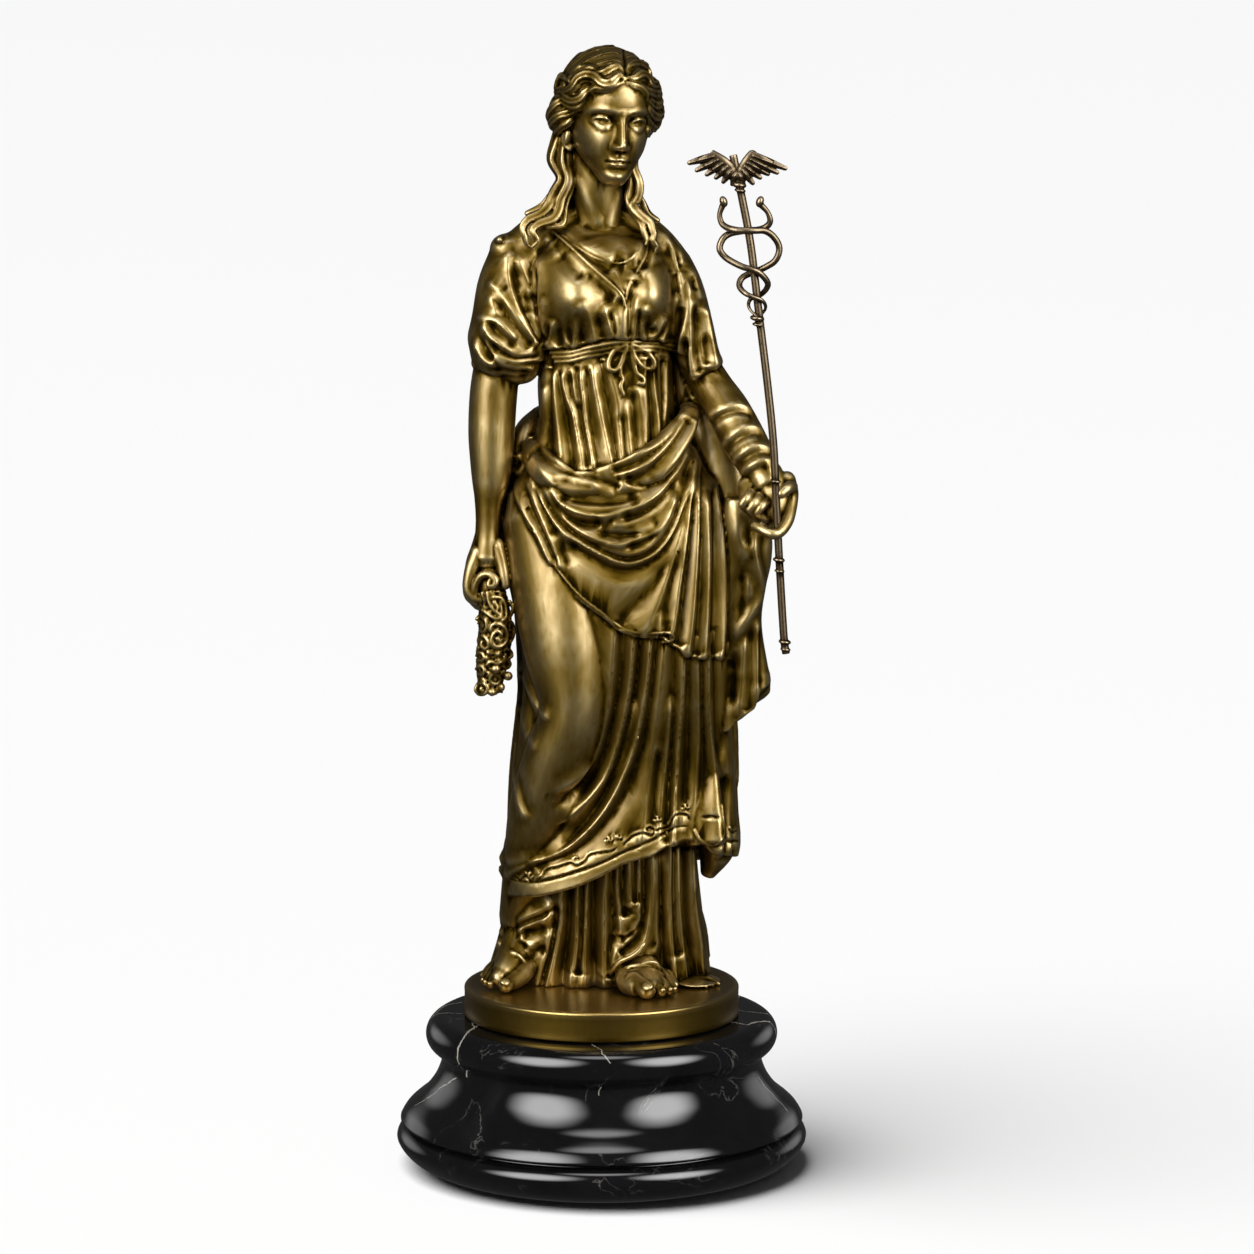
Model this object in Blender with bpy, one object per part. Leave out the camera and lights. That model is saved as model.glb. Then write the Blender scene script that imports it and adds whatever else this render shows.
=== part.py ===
"""Bronze goddess figurine on a turned marble socle, at its real size.

The figure stands on a round bronze plinth. The hand at its right side holds a flower garland and the
other holds a winged herald's staff, which is a casting of its own, pushed through the closed fist.
Everything is laid out in millimetres, with +Z up, the front towards -Y and the origin under the
socle's centre, and is scaled to metres at the end.
"""

import math
import random

import bmesh
import bpy
import numpy as np
from mathutils import Matrix, Vector
from mathutils.bvhtree import BVHTree

# ---------------------------------------------------------------- driving dimensions, in millimetres
GAP = 0.3  # clearance between pieces that rest on or in each other
SOCLE_R = 92.0  # widest, at the lower torus
SOCLE_FOOT_R = 70.0
SOCLE_NECK_R = 71.8
SOCLE_TOP_R = 78.8
SOCLE_H = 68.5
PLINTH_R = 61.5
PLINTH_H = 13.4
PLINTH_EDGE = 0.9
FOOT_Z = SOCLE_H + GAP + PLINTH_H + GAP  # the figure's underside
HEAD_TOP = 500.0
STAFF_R = 1.75
STAFF_CLEARANCE = 0.35
SERPENT_R = 1.4
EYE = Vector((11.4, -2150.0, 559.0))  # the front is drawn on the plane y = 0, as seen from here
BEHIND = Vector((0.0, 2150.0, 420.0))  # and the back, as seen from here
CLAY = 1.3  # grain of the fused clay
FIGURE_TRIANGLES = 5850
STAFF_TRIANGLES = 1300
AROUND = 40  # facets round a turned piece


# ---------------------------------------------------------------- curves and skins
def seen(x, z, y):
    """The place at depth y that lies behind (x, z) of the plane y = 0, as the eye sees it."""
    k = 1 + y / -EYE.y
    return (EYE.x + (x - EYE.x) * k, y, EYE.z + (z - EYE.z) * k)


def smoothPath(points, count):
    """Rows on one smooth curve through the given rows, whatever they hold."""
    p = np.asarray(points, float)
    ends = np.vstack([2 * p[0] - p[1], p, 2 * p[-1] - p[-2]])
    t = np.linspace(0, len(p) - 1, count)
    i = np.minimum(t.astype(int), len(p) - 2)
    f = (t - i)[:, None]
    a, b, c, d = ends[i], ends[i + 1], ends[i + 2], ends[i + 3]
    cubic = (2 * a - 5 * b + 4 * c - d) * f**2 + (3 * b - a - 3 * c + d) * f**3
    return 0.5 * (2 * b + (c - a) * f + cubic)


def skin(name, rings):
    """A closed skin over rings of points. The first and last rings are one point repeated."""
    rings = np.asarray(rings, float)
    rows, around = rings.shape[:2]
    bm = bmesh.new()
    bmesh.ops.create_grid(bm, x_segments=around, y_segments=rows - 1, size=1)
    mesh = bpy.data.meshes.new(name)
    bm.to_mesh(mesh)
    bm.free()
    seamed = np.concatenate([rings, rings[:, :1]], axis=1)
    setCoords(mesh, seamed.reshape(-1, 3))
    bm = bmesh.new()
    bm.from_mesh(mesh)
    bmesh.ops.remove_doubles(bm, verts=bm.verts, dist=1e-4)
    bmesh.ops.dissolve_degenerate(bm, edges=bm.edges, dist=1e-5)
    bmesh.ops.recalc_face_normals(bm, faces=bm.faces)
    bm.to_mesh(mesh)
    bm.free()
    return mesh


def coords(mesh):
    co = np.empty(len(mesh.vertices) * 3, np.float32)
    mesh.vertices.foreach_get("co", co)
    return co.reshape(-1, 3).astype(float)


def normals(mesh):
    no = np.empty(len(mesh.vertices) * 3, np.float32)
    mesh.vertex_normals.foreach_get("vector", no)
    return no.reshape(-1, 3).astype(float)


def setCoords(mesh, co):
    mesh.vertices.foreach_set("co", co.reshape(-1).astype(np.float32))
    mesh.update()


# ---------------------------------------------------------------- simple forms
def tube(rows, around=16, caps=(1, 1), depth=1.0, steps=6, ripple=None):
    """A limb through rows of (x, z, y, radius) as seen, with rounded ends of caps times the radius.
    depth squeezes it front to back, and ripple is (how many, how high) flutes round it."""
    body = smoothPath(rows, steps * len(rows))
    centre = np.array([seen(*row[:3]) for row in body])
    radius = np.maximum(body[:, 3], 0.05)
    step = np.gradient(centre, axis=0)
    step /= np.linalg.norm(step, axis=1)[:, None]
    side = np.cross(step, [0.0, 1.0, 0.0])
    weak = np.linalg.norm(side, axis=1) < 0.3
    side[weak] = np.cross(step[weak], [0.0, 0.0, 1.0])
    side /= np.linalg.norm(side, axis=1)[:, None]
    front = np.cross(side, step)
    angle = np.linspace(0, 2 * math.pi, around, endpoint=False)
    flute = 1 + (ripple[1] * np.cos(ripple[0] * angle) if ripple else 0 * angle)
    rings = []
    for k in range(len(centre)):
        across = np.outer(np.cos(angle) * flute, side[k]) + np.outer(np.sin(angle) * flute * depth, front[k])
        if k == 0:
            for c in (0.0, 0.3, 0.6, 0.85):
                back = centre[0] - step[0] * radius[0] * caps[0] * math.sqrt(1 - c * c)
                rings.append(back + radius[0] * c * across)
        rings.append(centre[k] + radius[k] * across)
        if k == len(centre) - 1:
            for c in (0.85, 0.6, 0.3, 0.0):
                ahead = centre[k] + step[k] * radius[k] * caps[1] * math.sqrt(1 - c * c)
                rings.append(ahead + radius[k] * c * across)
    return skin("limb", rings)


def blob(place, radii, turn=(0, 0, 0), rings=14):
    """An ellipsoid at (x, z, y) as seen, turned by degrees about X, Y and Z."""
    bm = bmesh.new()
    bmesh.ops.create_uvsphere(bm, u_segments=2 * rings, v_segments=rings, radius=1)
    matrix = Matrix.Translation(seen(*place))
    for degrees, axis in zip(turn[::-1], "ZYX"):
        matrix = matrix @ Matrix.Rotation(math.radians(degrees), 4, axis)
    bmesh.ops.transform(bm, matrix=matrix @ Matrix.Diagonal((*radii, 1)), verts=bm.verts)
    mesh = bpy.data.meshes.new("blob")
    bm.to_mesh(mesh)
    bm.free()
    return mesh


def ringValues(pairs, angle):
    """Values round a closed curve from (degrees, value) pairs, rounded off between them."""
    dense = np.arange(-180, 180, 2.0)
    values = np.interp(dense, [a for a, _ in pairs], [v for _, v in pairs], period=360)
    for _ in range(5):
        values = (np.roll(values, 1) + 2 * values + np.roll(values, -1)) / 4
    return np.interp(angle, dense, values, period=360)


class Cloth:
    """Cloth round a body. Rows are (height, left, right, front, back) from the top down, and 0 degrees
    is the front, 90 is +X."""

    def __init__(self, rows, square=2.3, wave=None):
        table = smoothPath(rows, 200)
        self.table = table[np.argsort(table[:, 0])]
        self.square = square
        self.wave = wave

    def at(self, angle, z):
        left, right, front, back = (np.interp(z, self.table[:, 0], self.table[:, k]) for k in (1, 2, 3, 4))
        turn = np.radians(angle)
        wide, deep = (right - left) / 2, (back - front) / 2
        r = np.abs(np.sin(turn) / wide) ** self.square + np.abs(np.cos(turn) / deep) ** self.square
        r = r ** (-1 / self.square)
        if self.wave is not None:
            r = r + self.wave(angle, z)
        x = (left + right) / 2 + r * np.sin(turn)
        return np.stack([x, (front + back) / 2 - r * np.cos(turn), z + 0 * turn], axis=-1)

    def edge(self, drawn, around, behind):
        """Heights of an edge drawn across the front as (x, z) seen, and given behind in degrees."""
        drawn = np.array(drawn, float)
        angle = np.linspace(-180, 180, around, endpoint=False)
        z = np.full(around, drawn[:, 1].mean())
        for _ in range(8):
            place = self.at(angle, z)
            k = 1 - place[:, 1] / EYE.y
            x = EYE.x + (place[:, 0] - EYE.x) / k
            z = EYE.z + (np.interp(x, drawn[:, 0], drawn[:, 1]) - EYE.z) * k
        first, last = behind[0][0], behind[-1][0] - 360
        hidden = (angle > first) | (angle < last)
        z[hidden] = np.interp(angle[hidden] % 360, [a for a, _ in behind], [v for _, v in behind])
        for _ in range(2):
            z = (np.roll(z, 1) + 2 * z + np.roll(z, -1)) / 4
        return z

    def skin(self, top, hem, down=60, lip=None):
        """top and hem are heights, one for all or one each round. lip is (thickness, depth) of the
        hollow under the hem."""
        around = len(hem) if np.ndim(hem) else 144
        angle = np.linspace(-180, 180, around, endpoint=False)
        share = np.linspace(0, 1, down)[:, None]
        heights = top * (1 - share) + (np.asarray(hem) + np.zeros(around)) * share
        cloth = self.at(angle[None, :] + 0 * heights, heights)
        low = cloth[-1]
        centre = low.mean(0)
        rings = [np.broadcast_to(cloth[0].mean(0), low.shape)] + list(cloth)
        if lip:
            inward = (low - centre) * [1, 1, 0]
            inward /= np.linalg.norm(inward, axis=1)[:, None]
            rings.append(low - inward * lip[0])
            rings.append(low - inward * lip[0] * 1.5 + np.array([0, 0, lip[1]]))
            centre = centre + np.array([0, 0, lip[1]])
        rings.append(np.broadcast_to(centre, low.shape))
        return skin("cloth", rings)


def fuse(name, meshes, grain):
    """Joins overlapping forms into one skin of the given grain."""
    bm = bmesh.new()
    for mesh in meshes:
        bm.from_mesh(mesh)
        bpy.data.meshes.remove(mesh)
    joined = bpy.data.meshes.new(name)
    bm.to_mesh(joined)
    bm.free()
    obj = bpy.data.objects.new(name, joined)
    bpy.context.scene.collection.objects.link(obj)
    remesh = obj.modifiers.new("clay", "REMESH")
    remesh.mode = "VOXEL"
    remesh.voxel_size = grain
    remesh.adaptivity = 0
    bake(obj)
    return obj


def bake(obj):
    """Applies an object's modifiers."""
    graph = bpy.context.evaluated_depsgraph_get()
    baked = bpy.data.meshes.new_from_object(obj.evaluated_get(graph))
    obj.modifiers.clear()
    old, obj.data = obj.data, baked
    bpy.data.meshes.remove(old)


# ---------------------------------------------------------------- drawing folds on a form
def profile(kind, t):
    """How high a fold stands at the share t of its half width."""
    if kind == "fold":  # a narrow crest between scooped flanks
        return np.clip(1.1 - np.sqrt(t * t + 0.01), 0, 1) ** 2
    if kind == "bead":
        return np.sqrt(np.clip(1 - t * t, 0, 1))
    return 0.5 + 0.5 * np.cos(np.pi * np.clip(t, 0, 1))


def distanceTo(line, co):
    """Each point's distance to a polyline, and how far along it the nearest place is, from 0 to 1."""
    best = np.full(len(co), 1e9)
    along = np.zeros(len(co))
    for k in range(len(line) - 1):
        start, d = line[k], line[k + 1] - line[k]
        s = np.clip(((co - start) @ d) / max(d @ d, 1e-9), 0, 1)
        gap = np.linalg.norm(co - start - s[:, None] * d, axis=1)
        near = gap < best
        best[near] = gap[near]
        along[near] = (k + s[near]) / (len(line) - 1)
    return best, along


def drawnOn(tree, drawn, eye):
    """Points of the plane y = 0 carried along the eye's sight on to the form. Past its outline they
    stay at the depth of the point before."""
    line, depth = [], 0.0
    for x, z in drawn:
        flat = Vector((x, 0.0, z))
        hit = tree.ray_cast(eye, (flat - eye).normalized())[0]
        if hit is None:
            hit = tree.find_nearest(eye + (flat - eye) * (1 - depth / eye.y))[0]
        depth = hit.y
        line.append(tuple(hit))
    return np.array(line)


def press(mesh, strokes):
    """Raises or sinks strokes on a form, all at once. A stroke is (kind, half width, height, fade at
    the start, fade at the end, eye, points drawn on the plane y = 0)."""
    co, no = coords(mesh), normals(mesh)
    tree = BVHTree.FromPolygons(co.tolist(), [tuple(p.vertices) for p in mesh.polygons])
    up = np.zeros(len(co))
    down = np.zeros(len(co))
    for kind, width, height, fadeIn, fadeOut, eye, drawn in strokes:
        line = drawnOn(tree, smoothPath(drawn, 4 * len(drawn)), eye)
        near = np.where(((co > line.min(0) - width) & (co < line.max(0) + width)).all(1))[0]
        gap, along = distanceTo(line, co[near])
        ends = np.clip(np.minimum(along / max(fadeIn, 1e-3), (1 - along) / max(fadeOut, 1e-3)), 0, 1)
        lift = height * profile(kind, gap / width) * ends * (2 - ends)
        if height > 0:
            up[near] = np.maximum(up[near], lift)
        else:
            down[near] = np.minimum(down[near], lift)
    setCoords(mesh, co + no * (up + down)[:, None])


def fan(stroke, first, last, count):
    """count strokes spread evenly from the first drawn line to the last."""
    a, b = smoothPath(first, 7), smoothPath(last, 7)
    return [(*stroke, a * (1 - t) + b * t) for t in np.linspace(0, 1, count)]


# ---------------------------------------------------------------- the figure's clay
UNDERSKIRT = [
    (160, -36, 40, -12, 38),
    (140, -38, 41.5, -12, 39),
    (120, -41, 43.5, -11, 41),
    (100, -46, 46, -10, 44),
    (86, -50, 48, -10, 46),
    (74, -51, 49, -10, 46),
]
SKIRT = [
    (338, -29, 38, -19, 33),
    (322, -33, 47, -23, 36),
    (306, -38, 53, -27, 40),
    (288, -38.5, 56, -29, 42),
    (265, -38, 57.5, -30, 43),
    (240, -36.5, 58.5, -30, 43),
    (215, -36, 58.5, -27, 44),
    (195, -38.5, 59.5, -23, 46),
    (178, -41, 61, -21, 47),
    (158, -42, 62, -22, 47),
    (142, -41.5, 63, -25, 47),
    (128, -44, 60, -27, 47),
    (114, -42, 56, -27, 46),
]
TORSO = [
    (312, -31, 42, -22, 33),
    (335, -27.5, 33, -18, 29),
    (352, -28, 31.5, -17, 27),
    (368, -27, 31.5, -17, 26),
    (380, -30, 33, -20, 28),
    (395, -34, 36, -18, 31),
    (406, -37, 36, -13, 31),
    (415, -35, 31, -6, 27),
    (421, -27, 25, -1, 22),
    (428, -15, 13, 1, 17),
    (436, -11, 10, 0, 15),
]
HEM = [(-46, 124), (-43, 122.5), (-30, 121.5), (-20, 123.5), (-10, 126.5), (0, 131), (8, 135.5), (15, 138)]
HEM += [(23, 140), (29, 144), (35, 147), (44, 148), (50, 142), (58, 140), (64, 140)]
HEM_BEHIND = [(100, 139), (128, 131), (150, 127), (180, 124), (225, 122), (258, 122)]
APRON_EDGE = [(-42, 308), (-38, 299), (-30, 284), (-20, 267), (-10, 255), (0, 247.5), (8, 241), (15, 239.5)]
APRON_EDGE += [(29, 240), (33, 234.5), (38, 230.5), (46, 229), (60, 229.5)]
APRON_BEHIND = [(98, 231), (135, 246), (180, 268), (225, 292), (262, 309)]


def pleats(number, height, low, high):
    """Fluting round the back and sides of a skirt, which the front gives up to its drawn folds."""

    def wave(angle, z):
        turn = np.radians(angle)
        back = np.clip((np.abs(angle) - 70) / 30, 0, 1)
        reach = np.clip((high - z) / (high - low), 0, 1)
        flute = np.cos(number * turn + 0.6 * np.sin(3 * turn)) + 0.35 * np.cos((2 * number + 3) * turn)
        return height * reach * back * flute

    return wave


def drapery():
    under = Cloth(UNDERSKIRT, wave=lambda a, z: 1.7 * np.cos(np.radians(a) * 18 + 1))
    skirt = Cloth(SKIRT, wave=pleats(15, 1.9, 120, 320))
    apron = Cloth([(z, a - 1.5, b + 1.2, c - 2.6, d + 2.4) for z, a, b, c, d in SKIRT], wave=pleats(11, 1.6, 225, 330))
    torso = Cloth(TORSO, square=2.2, wave=pleats(12, 0.8, 340, 420))
    hem = skirt.edge(HEM, 144, HEM_BEHIND)
    apronEdge = apron.edge(APRON_EDGE, 144, APRON_BEHIND)
    return [
        under.skin(160, 74),
        skirt.skin(336, hem, lip=(3.0, 6)),
        apron.skin(333, apronEdge, lip=(2.6, 4)),
        torso.skin(436, 314),
        # the bent right leg presses through the cloth
        tube([(-22, 292, 4, 23), (-17, 262, -6, 23), (-14, 232, -14, 20), (-13, 206, -19, 14.5), (-19, 185, -14, 15.5),
              (-26, 160, -6, 15.5), (-32, 135, 2, 12), (-37, 112, 10, 9)]),
        # rolls of the mantle round the waist
        tube([(-30, 337, 10, 4.5), (-30, 326, -8, 5), (-23, 316, -19, 5.2), (-13, 309.5, -25, 6), (-2, 307, -27, 6),
              (9, 305, -28, 5), (20, 304.5, -27, 3)], around=14),
        tube([(-25, 323, -12, 3), (-16, 316.5, -20, 3), (-4, 313.5, -23.5, 2.8), (6, 315.5, -24, 3.2),
              (18, 321.5, -23, 4), (29, 328.5, -20, 4.6), (37, 335.5, -13, 5), (39, 341, -8, 4.5)], around=14),
        tube([(41, 340, -9, 4), (40, 346, -10, 3.5), (34, 347, -10, 3.2), (31, 342, -10, 3.4)], around=12),
        # cloth that hangs from the left forearm
        tube([(60, 306, -12, 8), (66, 288, -8, 8), (69, 270, -4, 7.5), (67, 250, 0, 8), (66, 232, 2, 8.5),
              (65, 218, 3, 6), (61, 206, 4, 3)], depth=0.7),
        tube([(71.5, 292, -6, 5), (72.5, 270, 0, 3.5), (70.5, 245, 4, 3), (72, 226, 6, 3)], depth=0.7, around=12),
        # the lowest corner behind the skirt's right side, and the rolled fold of the hem
        tube([(52, 160, 24, 9), (52, 146, 24, 9), (48, 134, 24, 5)], depth=0.8),
        tube([(48.5, 200, -14, 2.5), (49.5, 175, -16, 4), (49.5, 151, -18, 5.4)], caps=(1, 0.1)),
    ]


def upperBody():
    return [
        blob((-11, 391, -13), (12.5, 11, 13), (0, 0, -15)),
        blob((22, 393, -11), (12.5, 11, 13), (0, 0, 20)),
        blob((-38, 407, 8), (12.5, 12.5, 14.5), (0, 28, 0)),
        blob((31, 408, 8), (12, 12, 14), (0, -30, 0)),
        # sleeves
        tube([(-38, 409, 8, 11.5), (-40, 395, 6, 14.5), (-40, 381, 3, 17), (-40.5, 370, 2, 18.5), (-42, 360, 1, 15.5)],
             caps=(0.6, 0.55), depth=0.9, around=28),
        tube([(31, 409, 8, 10.5), (36, 393, 6, 12), (40.5, 377, 3, 12), (45, 362, 0, 11.4)], caps=(0.6, 0.35), around=24),
        tube([(-28, 366, -8, 3), (-20, 362, -10, 3), (-13, 364.5, -14, 2)], around=10),
        # the right arm hangs, and its hand closes on the garland
        tube([(-45, 364, 2, 10.2), (-47.3, 348, 2, 10.5), (-48.3, 331, 1, 10.3), (-48.4, 318, 0, 9.5),
              (-48.8, 308, -1, 8.2), (-49.6, 299, -2, 6.3), (-50, 290, -3, 5.5), (-50.3, 281, -4, 6)], around=20),
        blob((-51.3, 271, -4), (9, 6.5, 9.5)),
        tube([(-45, 276, -9, 3), (-42, 268, -11, 2.7), (-40.5, 260, -10, 2.5)], around=10),
        tube([(-56, 272, -8, 3), (-59, 264, -10, 2.8), (-56.5, 258.5, -11, 2.4)], around=10),
        # the left forearm comes forward, wound with cloth
        tube([(40, 364, 3, 11), (48, 352, 0, 11), (56, 340, -6, 10.5), (62.5, 328, -13, 10.2), (68, 318, -20, 9.2),
              (72.5, 308, -26, 8)], around=20),
        blob((74.5, 299, -31), (9.5, 8.5, 10)),
    ]


def leftFist():
    """Four fingers closed round the staff, and the thumb over them."""
    forms = [tube([(80, 305, -34, 3.2), (78, 299, -38, 3), (73, 297, -40, 2.6)], around=10)]
    for k in range(4):
        z = 302.5 - 4.6 * k
        reach = 61.5 + 1.3 * k
        forms.append(tube([(80.5, z - 5, -30, 3), (82, z - 6, -37, 2.8), (75, z - 4, -42, 2.6), (reach + 3, z - 1, -38, 2.6),
                           (reach + 2, z, -33, 2.4)], around=10))
    return forms


def garland():
    """A stub of leaves, fruit and roses, hung from the hand."""
    forms = [tube([(-50, 268, -8, 4.5), (-48, 256, -9, 7), (-47, 244, -9, 7.6), (-48.5, 230, -9, 8), (-49, 218, -9, 6)])]
    chance = random.Random(4)
    for row in range(8):
        z = 262 - row * 6.2
        stem = 5.2 + 1.6 * math.sin(math.pi * min(1, (row + 0.6) / 6))
        for k in range(5):
            turn = math.radians(72 * k + 36 * (row % 2) + chance.uniform(-8, 8))
            size = chance.uniform(3.3, 4.2)
            x = -48.3 + stem * math.sin(turn)
            forms.append(blob((x, z + chance.uniform(-1, 1), -9 - stem * math.cos(turn)), (size, size, size * 0.9), rings=6))
    return forms


def headAndHair():
    forms = [
        tube([(-0.5, 450, 4, 9.6), (-1, 438, 6, 10), (-1, 426, 8, 12), (0, 416, 10, 15)], around=20),
        tube([(-33, 416, 9, 6), (-16, 423, 12, 7.5), (0, 427, 13, 8), (15, 423, 12, 7.5), (29, 416, 9, 6)], around=14),
        # skull, face, jaw and nose, turned towards her left
        blob((3, 473, 1), (18.5, 21, 21)),
        blob((5.2, 462, -4.5), (15, 17, 17.5), (8, 0, 22)),
        blob((8, 449.5, -10.5), (9, 9, 7.5), (0, 0, 22)),
        blob((10, 460.5, -18.8), (2.6, 4.2, 6.5), (-10, 0, 22), rings=8),
        # the crown of the hair and the knot behind
        blob((1.5, 478, 9), (22.5, 21.5, 21.8)),
        blob((-1, 470, 31), (11, 9, 10)),
    ]
    for lock in (
        [(9, 492, -12, 4.5), (1, 489.5, -17, 5), (-8, 485, -15.5, 5.2), (-15, 477, -10, 5.8), (-18, 467, -3, 6), (-16, 459, 3, 4.5)],
        [(9, 497, -6, 4), (-2, 494.5, -9, 5), (-12, 489, -7, 5.2), (-18.5, 480, -2, 5.4), (-19.5, 470, 6, 5)],
        [(10.5, 492, -12, 4), (17, 489.5, -14, 4.6), (22.5, 482, -11, 4.8), (23.5, 472.5, -6, 4.6), (21.5, 464.5, -2, 3.6)],
        [(11, 497, -5, 4), (18, 492, -6, 4.6), (23, 484, -3, 4.6), (23.5, 474, 3, 4.8), (19, 464, 8, 5)],
    ):
        forms.append(tube(lock, around=12))
    for side in (
        [(-20, 457, 4, 3.2), (-18.5, 444, 2, 3.4), (-19, 435, 0, 3.5), (-22.5, 427, -3, 3.4), (-29, 421, -6, 3), (-31, 413, -9, 2.2)],
        [(16, 452, 2, 3), (14.5, 441, 0, 3.2), (15.5, 430, -2, 3.2), (21, 422.5, -5, 3), (24, 414.5, -9, 2.2)],
        [(-16, 455, 2, 2.6), (-15.5, 442, 0, 2.6), (-16.5, 430, -2, 2.6), (-17, 423, -4, 2.4)],
    ):
        forms.append(tube(side, around=10))
    return forms


def foot(toe, heel, lift, lean):
    """A bare foot from the big toe's end to the heel. lean is which side the little toe is on."""
    toe, heel = np.array(toe, float), np.array(heel, float)
    forward = (toe - heel) / np.linalg.norm(toe - heel)
    across = np.array([-forward[1], forward[0]]) * lean
    ball = toe - forward * 13 + across * 7
    forms = [
        tube([(*flat(heel, 8), 8.5), (*flat((heel + ball) / 2, 11), 9.5), (*flat(ball, 5.5), 10)], depth=0.62, around=18),
        tube([(*flat((heel * 2 + ball) / 3, lift), 8), (*flat((heel + ball) / 2, 9), 9)], around=16),
    ]
    for k, (size, back, out) in enumerate([(3.9, 0, 0), (2.7, 1.5, 6.6), (2.6, 3.2, 11), (2.4, 5.6, 15), (2.2, 8.6, 18.5)]):
        tip = toe - forward * back + across * out
        root = tip - forward * 10 - across * (0.1 * out)
        rise = 1.0 if k else 0.4
        forms.append(tube([(*flat(root, size + 3.5), size), (*flat((tip + root) / 2, size + rise + 0.6), size * 0.95),
                           (*flat(tip - forward * size, size - 0.3), size)], around=12))
    return forms


def flat(place, height):
    """(x, z, y) as seen for a spot on the plinth at a height over it."""
    k = 1 - place[1] / EYE.y
    return (EYE.x + (place[0] - EYE.x) / k, EYE.z + (FOOT_Z + height - EYE.z) / k, place[1])


def feet():
    forms = foot((20.5, -31), (9, 14), 26, 1) + foot((-43, -16), (-36, 26), 24, -1)
    # a broad leaf lies on the plinth beside the left foot
    forms.append(tube([(31, 86, 4, 3), (40, 84, 2, 7), (50, 83, 0, 6.5), (54, 83, -1, 3)], depth=0.16, caps=(0.3, 0.3)))
    return forms


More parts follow.
